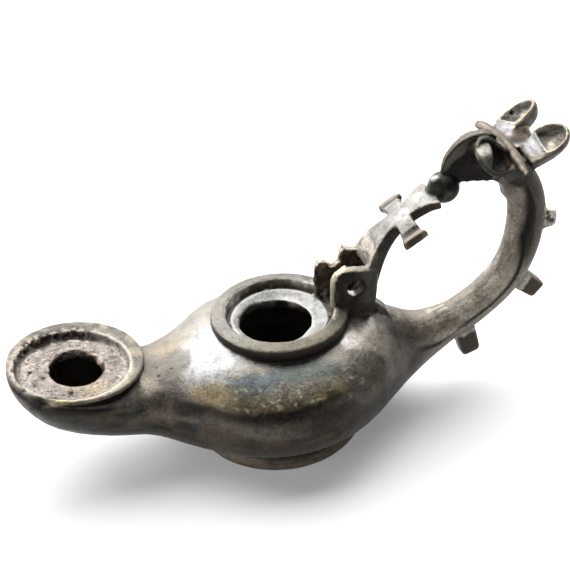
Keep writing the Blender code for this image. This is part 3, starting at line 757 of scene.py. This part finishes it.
# %% The foot and the earth on the dark sides
on_foot = z < 3.6
lay((0.120, 0.096, 0.075), on_foot, 0.9, 0.4)
lay((0.050, 0.040, 0.030), on_foot * mottle(0.8, 4.6, 0.1, 0.5, (0.3, 0.3, 1.0)), 0.6, 0.4)
dark_side = ease(looks_up, 0.15, -0.1) * (x < 34) * between(z, 3, 34)
lay((0.060, 0.050, 0.038), dark_side * mottle(1.2, 7.4, 0.25, 0.6, (0.4, 1, 1)), 0.5, 0.2)
tell("foot", on_foot)

# %% The neck: brown on top, ochre on its far side, a pale patch at the nozzle
lay((0.033, 0.029, 0.024), ease(x, -33.0, -39.0) * ease(x, -58.0, -52.0) * ease(looks_up, 0.3, 0.8), 0.85)
lay((0.100, 0.080, 0.054), blob((-38.5, 6.0, 31.5), 6.5, (1.3, 1.2, 0.8)), 0.8)
lay((0.048, 0.042, 0.035), blob((-37.0, -5.5, 31.4), 5.5, (1.2, 1.0, 0.8), 0.6), 0.8)
lay((0.120, 0.100, 0.080), blob((-48.0, -9.5, 29.5), 5.5, (1.0, 0.8, 0.8)), 0.85)
lay((0.110, 0.088, 0.070), blob((-46.0, -15.5, 22.5), 6.0, (1.8, 0.7, 0.7)), 0.7)
print("neck painted, mean", paint.mean(0).round(3))

# %% [markdown]
# ## The nozzle
# The flame left its own finish here. Lime makes the disc pinkish and dry, soot is caked in the far
# half of the channel, the rim is olive with painted highlights and a painted glint, with a painted
# shadow under it, and the wick hole is burnt brown with a pale spot and painted light on its left
# wall. Distances from the disc's and the rim's middles tell these rings apart.

# %% The disc and its channel
on_disc = ease(disc_away, 15.2, 14.2) * ease(np.abs(above_rim + 1.4), 1.5, 0.9) * ease(looks_up, 0.2, 0.6)
lay((0.145, 0.127, 0.117), on_disc, 1.0, 0.9)
lay((0.085, 0.070, 0.060), on_disc * ease(breakup, 0.05, 0.45), 0.55, 0.9)
lay((0.026, 0.019, 0.014), on_disc * mottle(1.1, 12.2, 0.42, 0.62), 0.8, 0.9)
lay((0.170, 0.137, 0.095), on_disc * blob(RIM + (4.0, -12.5, -2.0), 6.0, (1.6, 0.6, 1)), 0.7, 0.8)
channel = ease(disc_away, 13.6, 14.6) * ease(disc_away, 17.2, 16.6) * between(above_rim, -4, 0.4)
lay((0.21, 0.190, 0.172), channel * ease(rim_x, 4.0, 11.0), 0.85, 0.8)
tell("crust on the disc", on_disc)

# %% The rim
on_rim = ease(disc_away, 15.6, 16.4) * ease(above_rim, -1.6, -0.6) * ease(rim_away, 21.5, 20.5)
lay((0.064, 0.057, 0.047), on_rim, 0.9, 0.35)
# Painted highlights on the rim, more of them towards the neck
lay((0.135, 0.116, 0.082), on_rim * ease(breakup + 0.3 * ease(rim_x, 0, 15), 0.05, 0.4), 0.7, 0.35)
lay((0.024, 0.023, 0.018), on_rim * ease(rim_y, 0.0, 10.0) * mottle(2.0, 5.5, -0.25, 0.2), 0.75, 0.4)
# A painted highlight along the rim's inner edge on the neck's side
lay((0.20, 0.185, 0.165), on_rim * ease(disc_away, 17.4, 16.8) * ease(rim_x, -2.0, 6.0), 0.7, 0.5)
tell("olive on the rim", on_rim)

# %% Soot caked in the far half of the channel
sooty = ease(rim_y - 0.6 * rim_x, -3.0, 8.0) * ease(disc_away, 18.2, 17.2)
sooty = sooty * ease(disc_away + 2.2 * ease(rim_x, -6.0, -12.0), 11.6, 13.8)
sooty = sooty * (above_rim > -4) * ease(rim_x, 9.0, 3.0)
lay((0.19, 0.165, 0.145), sooty, 0.9, 0.9)
caked = wander(points, 0.75, 6.6) + 0.5 * breakup + 0.30 * ease(rim_y, 4, 12) - 0.12
caked = caked - 0.35 * ease(rim_x, -8, -14)
lay((0.010, 0.007, 0.005), sooty * ease(caked, -0.12, 0.08), 0.95, 0.9)
tell("soot", sooty)

# %% Under the rim: mottled sides, a painted shadow, the chip in the near edge and a painted glint
under_nozzle = (x < -33) * ease(looks_near, 0.0, 0.4) * ease(looks_up, 0.5, 0.2) * (z < 33)
lay((0.052, 0.043, 0.030), under_nozzle * mottle(2.2, 6.1, 0.05, 0.45, (0.5, 1, 1)), 0.6, 0.3)
lay((0.022, 0.030, 0.032), under_nozzle * mottle(2.8, 2.6, 0.10, 0.5, (0.5, 1, 1)), 0.55, 0.3)
# Painted shadow under the rim's near side
shadow_under_rim = (looks_near > 0.1) * (x < -48) * (rim_away > 17)
shadow_under_rim = shadow_under_rim * ease(above_rim, -0.9, -1.4) * ease(above_rim, -5.2, -3.4)
lay((0.006, 0.004, 0.003), shadow_under_rim, 0.95)
lay((0.020, 0.015, 0.012), blob(RIM + (-11.3, -17.2, -0.6), 4.0, (1.6, 0.8, 0.6)), 0.95, 0.6)
# Painted shadow under the chip
lay((0.006, 0.004, 0.003), blob(RIM + (-12.0, -17.0, -2.6), 4.5, (1.6, 0.9, 0.5)), 0.95, 0.2)
# A painted glint along the rim's near edge
painted_glint = blob(RIM + (-3.5, -17.3, 0.0), 6.5, (1.5, 0.35, 0.16)) * (above_rim > -1.5)
lay((0.19, 0.165, 0.100), painted_glint, 0.9, 0.3)
tell("mottled sides", under_nozzle)

# %% The burnt wick hole, with painted light on its left wall
lay((0.13, 0.105, 0.075), mottle(1.2, 3.3, 0.0, 0.3) * blob(WICK + (-5.0, 5.5, 0.3), 4.5), 0.7, 0.9)
wick_away = np.hypot(x - WICK[0], (y - WICK[1]) / WICK_OVAL)
in_wick = ease(wick_away, WICK_R + 0.4, WICK_R) * between(z, WICK[2] - 6, WICK[2] + 2)
lay((0.022, 0.014, 0.009), in_wick, 0.95, 0.8)
# Painted light on the hole's left wall
lay((0.19, 0.165, 0.140), in_wick * blob(WICK + (-7.6, 0.5, 0.2), 3.6, (0.8, 1.2, 1.2)), 0.9, 0.8)
lay((0.24, 0.205, 0.180), in_wick * blob(WICK + (7.0, 4.5, 0.4), 3.4), 0.9, 0.8)
tell("burnt brown", in_wick)

# %% [markdown]
# ## The filling ring
# The lid, now lost, closed the hole in the middle of this ring. The ring is olive with a painted
# highlight on its left, its dish silvery and its inner wall white with lime and painted light, dirt
# sits in the line round the dish, and painted shade lies under the ring. The lines are a fraction
# of a millimetre wide, which is why the net had to be so fine.

# %% The ring, its inner wall and the painted shade under it
on_ring = ease(ring_away, 16.2, 16.9) * ease(from_ring[:, 2], -1.6, -0.6) * (ring_away < 21.5) * (x < 16)
lay((0.066, 0.062, 0.054), on_ring, 0.95, 0.25)
lay((0.062, 0.053, 0.037), on_ring * ease(-y, 4, 15), 0.7, 0.25)
# A painted highlight on the ring's left
lay((0.082, 0.077, 0.068), on_ring * ease(x, -12.0, -19.0), 0.85, 0.3)
lay((0.034, 0.030, 0.023), on_ring * mottle(1.8, 8.2, 0.15, 0.5), 0.4, 0.3)
inner_wall = ease(np.abs(ring_away - 16.2), 0.9, 0.3) * (z > 36.2)
inner_wall = inner_wall * ease(np.abs(looks_up), 0.8, 0.4) * (x < 14)
# The inner wall painted white: lime, with painted light on its far side
lay((0.62, 0.60, 0.56), inner_wall * ease(y, -6.0, 2.0), 0.9, 0.5)
worn_lime = wander(points * (1, 1, 2.5), 2.4, 2.9) + 0.5 * ease(x, 4.0, -4.0) * ease(x, -16.0, -8.0)
lay((0.17, 0.155, 0.130), inner_wall * ease(y, -4.0, 4.0) * ease(worn_lime, 0.0, 0.4), 0.8, 0.5)
# Painted shade on the ring's outer wall and under it
under_ring = ease(ring_away, 19.6, 20.2) * ease(ring_away, 22.4, 21.4) * ease(looks_up, 0.6, 0.35)
lay((0.012, 0.009, 0.006), under_ring * (z > 33.5) * (x < 18), 0.95)
lay((0.33, 0.31, 0.29), blob((10.3, -4.8, 36.8), 3.2, (1.0, 1.0, 0.8), 0.3) * (z < 39.5), 0.85, 0.2)
tell("ring", on_ring)

# %% The silvery dish and the dirty line round it
on_dish = ease(ring_away, 15.9, 15.2) * ease(looks_up, 0.1, 0.5) * between(z, 33.5, 39.5) * (x < 16)
lay((0.150, 0.150, 0.147), on_dish, 0.95, 0.15)
lay((0.10, 0.094, 0.082), on_dish * mottle(3.2, 4.9, 0.1, 0.6), 0.5, 0.15)
dirty_line = ease(np.abs(ring_away - 15.75), 0.6, 0.1) * between(z, 35.5, 40)
lay((0.035, 0.022, 0.012), dirty_line * ease(breakup, -0.5, 0.0), 0.9)
tell("dish", on_dish)

# %% [markdown]
# ## The hinge lugs
# The near lug's face is painted almost black as shade, with a painted highlight, a pale ribbon,
# along its edge, and its pin hole is painted dark inside and bright where it catches the light. The
# torn far lug shows brown earth, painted lighter where it looks up, and the slot between the lugs
# is given painted shade. Each face is found by where it is and which way it looks, which is safer
# than picking faces by number.

# %% The near lug
lug = between(x, 9.5, 24.8) & (z > 40.2)
near_face = lug & (y < -5.0) & (looks_near > 0.8)
# Painted shade: the near face almost black
lay((0.009, 0.0075, 0.006), near_face, 0.97, 0.1)
lay((0.045, 0.038, 0.030), near_face * mottle(1.1, 8.3, 0.35, 0.6, (1, 1, 0.5)), 0.7, 0.3)
lay((0.040, 0.036, 0.030), near_face * ease(x + 0.4 * breakup, 18.0, 21.5), 0.9, 0.2)
# A painted highlight: a pale ribbon along the face's rounded edge
ribbon = lug & (y < -2.2) & (looks_near < 0.93 - 0.25 * (x > 12.5)) & (looks_near > -0.7)
lay((0.20, 0.18, 0.145), ribbon * ease(x, 19.5, 17.0), 0.9, 0.4)
lay((0.11, 0.095, 0.075), ribbon * ease(x, 13.5, 16.0), 0.85, 0.4)
tell("near lug", near_face)

# %% The far lug, the painted shade in the slot between the lugs, and the pin hole
far_lug = lug & (y > 4.0)
lay((0.085, 0.063, 0.038), far_lug, 0.9, 0.6)
lay((0.016, 0.011, 0.007), far_lug * mottle(1.6, 6.8, 0.0, 0.4), 0.8, 0.6)
# Painted light where the torn far lug looks up
lay((0.19, 0.17, 0.14), far_lug & (looks_up > 0.35), 0.8, 0.4)
# Painted shade on the lugs' sides in the slot
lay((0.035, 0.027, 0.018), lug & (looks_aside > 0.7) & between(y, -3.4, 0), 0.9, 0.4)
# Painted shade inside the pin hole, and painted light on its lower wall
pin_hole = ease(np.hypot(x - PIN_X, z - PIN_Z), 3.5, 3.1) * (y < 0)
lay((0.010, 0.007, 0.005), pin_hole, 0.95, 0.4)
lay((0.85, 0.82, 0.76), pin_hole * ease(x, 18.6, 17.2) * ease(z, 45.6, 44.8) * (y > -5.4), 0.95, 0.6)
tell("far lug", far_lug)

# %% [markdown]
# ## The cross and the ball
# The cross is painted silvery where it looks up, as painted light, with painted light on the strip
# below it and painted shade on its near sides, and dirt stayed in the grooves at its arms' ends. The
# ball is nearly black and polished. Both are masks on height and reach again, with small blobs of
# painted highlight for the brightest places.

# %% The cross and the strip below it
on_cross = (z > 50) & between(x, 22, 43) & (looks_up > 0.2)
# Painted light where the cross looks up, and two painted highlights
lay((0.108, 0.104, 0.098), on_cross * ease(looks_up, 0.25, 0.6), 0.95, 0.1)
lay((0.165, 0.167, 0.172), blob((33.8, -1.0, 65.5), 3.2) + blob((39.6, 0.0, 69.6), 2.2), 0.8)
lay((0.065, 0.058, 0.045), on_cross * mottle(1.9, 1.3, 0.1, 0.45), 0.5, 0.2)
lay((0.070, 0.061, 0.047), on_cross * ease(np.abs(y), 8.8, 10.0), 0.85, 0.2)
lay((0.020, 0.016, 0.012), on_cross * ease(np.abs(np.abs(y) - 8.6), 1.0, 0.3), 0.7, 0.2)
# Painted light on the front of the strip
strip_front = between(z, 50, 58) & (x > 22) & (outward[:, 0] < -0.7)
lay((0.25, 0.225, 0.195), strip_front, 0.85, 0.4)
lay((0.060, 0.048, 0.036), strip_front * mottle(1.4, 2.2, 0.15, 0.45), 0.7, 0.5)
# Painted shade on the near sides of the cross
lay((0.024, 0.019, 0.015), (z > 50) & between(x, 25, 43) & (looks_near > 0.7), 0.95)
tell("cross", on_cross)

# %% The ends of the arms
arm_end = (np.abs(y) > 10.2) * between(z, 57, 70) * between(x, 28, 42) * ease(looks_near, 0.5, 0.8)
lay((0.080, 0.066, 0.045), arm_end, 0.95, 0.3)
end_along = (x - 34.2) * 0.87 + (z - 62.3) * 0.5
end_across = (z - 62.3) * 0.87 - (x - 34.2) * 0.5
end_oval = np.hypot(end_along / 2.9, end_across / 1.3) + 0.3 * breakup
lay((0.014, 0.010, 0.008), arm_end * ease(end_oval, 1.1, 0.7), 0.9, 0.2)
tell("arm ends", arm_end)

# %% The ball and its bead
ball = ease(np.linalg.norm(points - BALL, axis=1), 5.6, 5.1)
lay((0.009, 0.0105, 0.0075), ball, 0.97)
# A painted highlight on the ball, and the bead painted pale as a highlight
lay((0.050, 0.052, 0.046), ball * blob((47.5, -4.5, 70.6), 2.6, (1, 1, 1), 0.5), 0.6)
lay((0.15, 0.145, 0.13), blob((43.6, -0.9, 75.6), 1.3, (1, 1, 1), 0.3), 0.9)
tell("ball", ball)

# %% [markdown]
# ## The beast's head
# The head's sides are painted black as shade, but for a paler crescent along the beak. The eye cups
# are painted black inside as shade, with a green lobe that carries a painted highlight, the brow bar
# is brown, and the ears are pale and earthy in their hollows, with painted light on their floors and
# ledges and painted shade between and under them. The crescent lies between a chord and an arc, and
# the eyes use the same axes as their lobes do.

# %% The sides and the beak
flank = ease(looks_aside, 0.5, 0.8) * between(x, 46, 72) * (z > 68) * (np.abs(y) < 4.6)
flank = flank * (1 - ease(x, 61.0, 63.5) * ease(z, 75.0, 72.0))
# Painted shade: the sides of the head nearly black
lay((0.005, 0.004, 0.003), flank, 0.98, 0.2)
above_chord = (z - 76.8 - 0.87 * (x - 47.3)) * 0.75
crescent = ease(above_chord, 0.3, 0.7) * ease(np.hypot(x - 58.5, z - 75.5), 12.9, 12.4) * (x < 57)
lay((0.046, 0.044, 0.038), flank * crescent, 0.9)
lay((0.010, 0.008, 0.006), flank * ease(above_chord, -1.0, -4.0) * ease(streaks, -0.3, 0.3), 0.8, 0.1)
beak_top = between(x, 46, 61) * ease(z, 74.5, 77) * (np.abs(y) < 2.8)
lay((0.032, 0.027, 0.021), beak_top * ease(looks_up, 0.1, 0.4), 0.9, 0.3)
beak_edge = between(x, 45.5, 61) * (z > 76) * (np.abs(y) < 2.8) * ease(looks_aside, 0.30, 0.45)
lay((0.008, 0.006, 0.004), beak_edge * ease(looks_up + (looks_aside < 0.9), 0.9, 1.1), 0.9, 0.1)
head = between(x, 54, 70.5) & (z > 70.0) & (np.abs(y) > np.where(z < 77.0, 3.6, 2.4))
head = head & ((x < 67.5) | (z < 80))
# Painted shade on the head, darker where it looks down
lay((0.026, 0.021, 0.017), head * ease(looks_up, 0.85, 0.4), 0.92, 0.2)
lay((0.012, 0.009, 0.007), head * ease(looks_up, 0.1, -0.3), 0.9, 0.1)
tell("sides of the head", flank)

# %% The eyes
for hand in (-1, 1):
    opening, u, w, o = eye_axes(hand)
    in_cup = ease(eye_oval(u, w), 1.1, 0.9) * between(o, -4, 1.6)
    # Painted shade inside the cup
    lay((0.003, 0.003, 0.002), in_cup, 0.97, 0.1)
    lobe = ease(w + 0.85 * u + 0.8 * breakup, -2.2, 1.4) * ease(u, -4.0, -1.0)
    lay((0.034, 0.029, 0.024), in_cup * ease(eye_oval(u, w), 0.68, 0.8) * ease(u, 3.6, 2.4), 0.9, 0.2)
    lay((0.050, 0.052, 0.041), in_cup * lobe, 0.95, 0.4)
    # A painted highlight on the lobe
    lit = ease(np.hypot((u - 3.0) / 2.4, (w - 2.0) / 3.0) + 0.5 * breakup, 1.1, 0.4) * (o > -1.8)
    lay((0.23, 0.23, 0.195), in_cup * lit, 0.85, 0.5)
    tell("eye", in_cup)

# %% The brow bar
on_brow = (np.abs(x - 64.4) < 1.8) * (z > 79)
lay((0.040, 0.031, 0.023), on_brow * ease(looks_up, 0.0, 0.4), 0.95, 0.5)
brow_front = between(x, 60.5, 64.5) * (z > 79) * (np.abs(y) > 2.6) * ease(outward[:, 0], -0.3, -0.6)
lay((0.16, 0.14, 0.115), brow_front * ease(bend, 0.01, 0.04), 0.9, 0.3)
lay((0.036, 0.025, 0.016), on_brow * mottle(1.2, 8.1, 0.1, 0.4), 0.6, 0.4)
tell("brow bar", on_brow)

# %% The ears and the patch between them, with painted light and painted shade
ears = (x > 67.5) & (z > 80.5)
# Painted light on the ears' floors, stronger on the near ear where it looks up
ear_floor = ears * ease(hollow, 0.10, 0.25)
lay((0.155, 0.150, 0.132), ear_floor, 0.9, 0.6)
lay((0.27, 0.255, 0.220), ear_floor * (y < 0) * ease(looks_up, 0.6, 0.4), 0.8, 0.6)
lay((0.080, 0.064, 0.046), ears * ease(hollow, 0.15, 0.4) * mottle(2.0, 9.6, 0.1, 0.4), 0.75, 0.7)
lay((0.24, 0.145, 0.085), ears * ease(hollow, 0.2, 0.4) * ease(breakup, 0.3, 0.5), 0.5, 0.7)
outer_half = ease(0.67 * x - 0.74 * y - np.where(y < 0, 55.9, 42.4) + 0.6 * breakup, -0.3, 0.5)
# A painted highlight on the ears' upward ledges
ledge = ears * ease(looks_up, 0.3, 0.5) * ease(hollow, 0.05, 0.15) * outer_half
lay((0.44, 0.395, 0.345), ledge, 0.85, 0.5)
lay((0.100, 0.082, 0.062), ears * ease(bend, 0.03, 0.06) * ease(breakup, -0.6, 0.1), 0.85, 0.4)
lay((0.130, 0.131, 0.138), blob((70.3, -7.0, 84.2), 4.2, (0.7, 1.2, 0.8), 0.2), 0.85)
lay((0.130, 0.131, 0.138), blob((68.2, 5.2, 84.0), 3.6, (0.8, 1.1, 0.9), 0.2), 0.85)
# Painted shade between the ears
lay((0.010, 0.006, 0.003), blob((69.0, -1.0, 83.9), 4.6, (0.9, 0.8, 1.0), 0.2), 0.95, 0.9)
earth = blob((71.0, 0.3, 84.3), 3.4, (1.0, 1.3, 1.0), 0.3) * ease(hollow, 0.6, 0.3)
lay((0.040, 0.025, 0.013), earth, 0.93, 1.0)
# Painted shade under the ears
lay((0.018, 0.013, 0.010), ears * ease(looks_up, 0.0, -0.4), 0.8)
tell("ears", ears)

# %% [markdown]
# ## The handle
# The inside of the loop is painted pale as a highlight, and a black line of painted dark reflection
# runs along its near side, between the pale inside and the brown outside, with painted shade under
# the loop and a painted reflection low on its outside. The loop is nearly round, so every place on
# it is given by its distance from the loop's middle and its turn round it.

# %% Ways round the loop
loop_away = np.hypot(x - LOOP_X, z - LOOP_Z)
outside = (outward[:, 0] * (x - LOOP_X) + outward[:, 2] * (z - LOOP_Z)) / loop_away
handle = ((x > 30) & (z < 50)) | ((x > 61) & (z < 76) & ((np.abs(y) < 4.2) | (z < 70)))
turn = np.degrees(np.arctan2(z - LOOP_Z, x - LOOP_X))
along_loop = np.stack((loop_away, y, 0.06 * turn), 1)
line = 25.0 + 0.5 * ease(turn, 5, -25) + 4.7 * ease(turn, -58, -100)
line = line + 0.20 * np.clip(turn - 6, 0, 60) + 0.3 * wander(points, 5.0, 2.2)
tell("handle", handle)

# %% Painted highlights inside the loop and on its near side
# Painted light where the handle looks up
lay((0.090, 0.080, 0.066), handle * ease(looks_up, 0.1, 0.6), 0.8)
# A painted highlight along the inside of the loop
highlit = handle * ease(outside, 0.0, -0.35) * ease(z, 72, 67) * ease(x, 38, 46)
lay((0.105, 0.093, 0.077), highlit, 0.8, 0.35)
# Painted light on top of the handle's root and on the near side of both bows
root_top = handle * ease(x, 52, 44) * ease(x, 36, 40) * ease(z, 24, 26) * ease(looks_up, 0.1, 0.5)
lay((0.105, 0.092, 0.074), root_top, 0.8, 0.3)
lower_bow = handle * ease(x, 36, 50) * ease(z, 47, 37) * ease(looks_near, 0.35, 0.65)
lay((0.34, 0.300, 0.250), lower_bow * ease(looks_up, -0.45, -0.15), 0.85, 0.3)
upper_bow = handle * (x > 60) * ease(z, 40, 46) * ease(looks_near, 0.25, 0.5)
lay((0.190, 0.166, 0.135), upper_bow * ease(outside, -0.12, -0.25), 0.7, 0.3)
brown_specks = ease(wander(along_loop, 1.0, 4.2), 0.0, 0.5) * ease(looks_near, -0.2, 0.4)
lay((0.090, 0.068, 0.046), handle * ease(x, 38, 46) * brown_specks, 0.55, 0.3)
pale_specks = ease(wander(along_loop, 0.8, 9.4), 0.25, 0.6) * ease(outside, 0.1, -0.2)
lay((0.22, 0.20, 0.175), handle * (x > 44) * pale_specks * ease(z, 60, 50), 0.6, 0.2)
tell("rubbed inside", highlit)

# %% The black line, a painted dark reflection, and the outside of the loop with painted shade and light
# Painted dark reflection on the near side beyond the line
beyond_line = handle * ease(looks_near, 0.55, 0.85) * ease(loop_away - line, -3.2, -0.6) * ease(z, 40, 52)
lay((0.014, 0.010, 0.008), beyond_line, 0.92, 0.1)
# The line itself, a painted dark reflection
half_width = 1.2 + 0.6 * ease(z, 46, 60)
black_line = handle * ease(looks_near, 0.3, 0.6) * ease(np.abs(loop_away - line), half_width, 0.35)
lay((0.003, 0.002, 0.002), black_line * ease(x, 34, 41), 0.97, 0.1)
# Painted shade under the loop
lay((0.004, 0.003, 0.002), handle * (x > 34) * ease(looks_up, -0.22, -0.42) * ease(z, 44, 38), 0.95, 0.1)
# A painted reflection low on the near outside, brown above it
near_outside = handle * (x > 40) * (looks_near > 0.2) * ease(outside, 0.05, 0.12)
lay((0.15, 0.135, 0.115), near_outside * ease(z, 44, 40), 0.85, 0.3)
lay((0.060, 0.053, 0.043), near_outside * ease(z, 40, 44), 0.85, 0.3)
tell("black line", black_line)

# %% The pegs, with painted shade on their sides and painted light on top, and the top one eaten pale
on_pegs = (loop_away > 33.3) & (x > 50) & (z < 70)
# Painted shade on the pegs' sides, and painted light where they look up
lay((0.022, 0.016, 0.010), on_pegs * ease(looks_up, 0.5, 0.2) * ease(z, 62, 56), 0.97, 0.3)
lay((0.040, 0.031, 0.022), on_pegs * (z < 26) * ease(looks_up, 0.5, 0.2), 0.9, 0.3)
lay((0.10, 0.088, 0.070), on_pegs * ease(looks_up, 0.4, 0.8), 0.7, 0.4)
eaten = np.linalg.norm(points - TOP_PEG, axis=1) < 5.5
lay((0.45, 0.42, 0.365), eaten * ease(breakup, -0.5, -0.1), 0.9, 0.8)
lay((0.020, 0.014, 0.009), eaten * mottle(1.4, 7.7, 0.1, 0.35), 0.85, 0.8)
tell("pegs", on_pegs)

# %% Under the head: the brown nape, and painted shade under the beak, the eyes and the brow
nape = (x > 61) * ease(x, 75, 71) * (np.abs(y) < 4.4) * ease(z, 66, 70) * ease(z, 78, 76)
lay((0.075, 0.061, 0.052), nape * ease(looks_up, 0.3, 0.0), 0.9, 0.2)
# Painted shade under the beak, the eyes and the brow
under_beak = between(x, 47, 63) * between(z, 66, 78) * (np.abs(y) < 4.6)
lay((0.006, 0.005, 0.004), under_beak * ease(looks_up, -0.2, -0.5), 0.95, 0.1)
under_eyes = between(x, 56, 71) * (np.abs(y) > 3.8) * ease(z, 69, 71) * (z < 81)
lay((0.014, 0.011, 0.009), under_eyes * ease(looks_up, 0.1, -0.2), 0.9, 0.2)
under_brow = between(x, 56, 68) * (y < -4.6) * ease(z, 71, 73) * (z < 80)
lay((0.007, 0.0055, 0.0045), under_brow * ease(looks_up, -0.3, -0.5), 0.95, 0.6)
tell("nape", nape)
print("paint range", paint.min(0).round(3), paint.max(0).round(3))

# %% Store the paint on the mesh
measures = {
    "crust": crust,
    "hollow": hollow,
    "edge": ease(bend, 0.01, 0.06),
    "groove": ease(-bend, 0.008, 0.045),
}

colours = np.column_stack((paint, np.ones(len(points))))
layer = skin.data.color_attributes.new("paint", "FLOAT_COLOR", "POINT")
layer.data.foreach_set("color", colours.astype(np.float32).ravel())
for name, values in measures.items():
    layer = skin.data.attributes.new(name, "FLOAT", "POINT")
    layer.data.foreach_set("value", values.astype(np.float32))
print("stored paint and", ", ".join(measures))

# %% [markdown]
# ## The bronze
# The finish is a dark metal seen through thin films. Painted points alone would look like plastic
# up close, so the painted colour is broken up by fine noise, dirt and painted shade darken the
# hollows, rubbing lightens the edges, and fine grain goes into a bump. Node maths is written as
# plain expressions through one small class.

# %% A wire: a socket that can be used in an expression


class Wire:
    """A socket that can be used in Python expressions."""

    def __init__(self, board, socket):
        self.board = board
        self.socket = socket

    def maths(self, operation, first, second):
        """One Math node on two wires or numbers."""
        return self.board.node("ShaderNodeMath", {"operation": operation}, {0: first, 1: second})

    def __add__(self, other):
        return self.maths("ADD", self, other)

    def __sub__(self, other):
        return self.maths("SUBTRACT", self, other)

    def __rsub__(self, other):
        return self.maths("SUBTRACT", other, self)

    def __mul__(self, other):
        return self.maths("MULTIPLY", self, other)

    __radd__ = __add__
    __rmul__ = __mul__


# %% A board: a material's nodes


class Board:
    """A material's nodes, added one at a time by one method."""

    def __init__(self, name):
        self.material = bpy.data.materials.new(name)
        self.material.use_nodes = True
        self.tree = self.material.node_tree
        self.shader = self.tree.nodes["Principled BSDF"]
        self.place = self.node("ShaderNodeTexCoord", out=3)  # the object's own coordinates

    def node(self, kind, settings=None, sockets=None, out=0):
        """Add a node: its settings first, then the values or links of its sockets."""
        made = self.tree.nodes.new(kind)
        for key, value in (settings or {}).items():
            setattr(made, key, value)
        for key, value in (sockets or {}).items():
            self.join(value, made.inputs[key])
        return Wire(self, made.outputs[out])

    def join(self, value, socket):
        """Link a wire to the socket, or set the socket to a plain value."""
        if isinstance(value, Wire):
            self.tree.links.new(value.socket, socket)
        else:
            socket.default_value = value

    def ramp(self, value, low, high):
        """0 at low and 1 at high; low may be above high."""
        settings = {"interpolation_type": "SMOOTHSTEP"}
        return self.node("ShaderNodeMapRange", settings, {0: value, 1: low, 2: high})

    def tinted(self, colour, tint):
        """The colour times a tint."""
        settings = {"data_type": "RGBA", "blend_type": "MULTIPLY"}
        return self.node("ShaderNodeMix", settings, {0: 1.0, 6: colour, 7: (*tint, 1)}, 2)

    def mix(self, share, first, second):
        """The first colour where share is 0 and the second where it is 1."""
        return self.node("ShaderNodeMix", {"data_type": "RGBA"}, {0: share, 6: first, 7: second}, 2)

    def noise(self, scale, detail, roughness, distortion=0.0):
        """Noise between 0 and 1 in the lamp's own coordinates."""
        sockets = {"Vector": self.place, "Scale": scale, "Detail": detail, "Roughness": roughness}
        return self.node("ShaderNodeTexNoise", None, {**sockets, "Distortion": distortion})

    def stored(self, name, out=2):
        """A layer stored on the mesh: out 0 reads a colour and 2 a number."""
        return self.node("ShaderNodeAttribute", {"attribute_name": name}, out=out)


# %% What the bronze is mixed from
# Soot in the dark specks and, together with painted shade, in the hollows
SOOT_AND_SHADE = (0.012, 0.009, 0.007, 1)
GROOVE_DIRT = (0.010, 0.007, 0.005, 1)

bronze = Board("aged_bronze")
painted = bronze.stored("paint", 0)
crusty, hollows, edges, grooves = (bronze.stored(name) for name in measures)
cloud = bronze.noise(260.0, 6.0, 0.65)
grain = bronze.noise(1300.0, 4.0, 0.7)
specks = bronze.noise(800.0, 2.0, 0.5, 0.4)
lighter = bronze.tinted(painted, (1.7, 1.67, 1.6))
darker = bronze.tinted(painted, (0.5, 0.48, 0.46))
print(len(bronze.tree.nodes), "nodes to mix from")

# %% [markdown]
# ## Tone, gloss and grain
# Clouds and grain lighten and darken the paint, and more so where it is crusty. Crusty places are
# also dull and hardly metal at all, while the bare skin has the soft shine of handled bronze. Pits
# too small for the mesh go into a bump, which needs no triangles.

# %% The tone
grain_share = 0.52 + 0.4 * crusty
tone = bronze.mix(bronze.ramp(cloud, 0.36, 0.66) * 0.5, painted, lighter)
tone = bronze.mix(bronze.ramp(cloud, 0.50, 0.32) * 0.6, tone, darker)
tone = bronze.mix(bronze.ramp(grain, 0.52, 0.64) * grain_share, tone, lighter)
tone = bronze.mix(bronze.ramp(grain, 0.49, 0.38) * grain_share, tone, darker)
pale_speck = bronze.tinted(painted, (2.4, 2.3, 2.15))
tone = bronze.mix(bronze.ramp(specks, 0.60, 0.68) * (0.16 + 0.55 * crusty), tone, pale_speck)
tone = bronze.mix(bronze.ramp(specks, 0.38, 0.31) * (0.12 + 0.75 * crusty), tone, SOOT_AND_SHADE)
tone = bronze.mix(edges * 0.75, tone, bronze.tinted(painted, (1.9, 1.85, 1.75)))
# Dirt and painted shade in the hollows, where little of the room is seen
tone = bronze.mix(bronze.ramp(hollows, 0.30, 0.90) * 0.45, tone, SOOT_AND_SHADE)
tone = bronze.mix(grooves * 0.75, tone, GROOVE_DIRT)
bronze.join(tone, bronze.shader.inputs["Base Color"])
print(len(bronze.tree.nodes), "nodes with the tone")

# %% The gloss and the grain
shine = 0.27 + 0.18 * bronze.ramp(grain, 0.35, 0.7) + 0.10 * cloud + crusty * 0.36
bronze.join(shine, bronze.shader.inputs["Roughness"])
metal = 0.66 - 0.58 * crusty
bronze.join(metal, bronze.shader.inputs["Metallic"])
bronze.shader.inputs["Specular IOR Level"].default_value = 0.22
relief = grain * (0.6 + 1.3 * crusty) + cloud * 0.9 - bronze.ramp(specks, 0.40, 0.30) * crusty
bumps = bronze.node("ShaderNodeBump", None, {"Strength": 1.0, "Distance": 0.00022, "Height": relief})
bronze.join(bumps, bronze.shader.inputs["Normal"])
print(len(bronze.tree.nodes), "nodes in the bronze")

# %% [markdown]
# ## Handing over
# The lamp is one rigid casting, so the skin rides the body called root and takes the solid's place.
# The pattern has done its work and is removed, so that it isn't taken for a piece of the lamp.

# %% Dress the skin and hand over
skin.data.materials.clear()
skin.data.materials.append(bronze.material)
bpy.data.objects.remove(pattern)
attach(skin, "root")
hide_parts("lamp")
print("handing over", len(skin.data.polygons), "triangles")
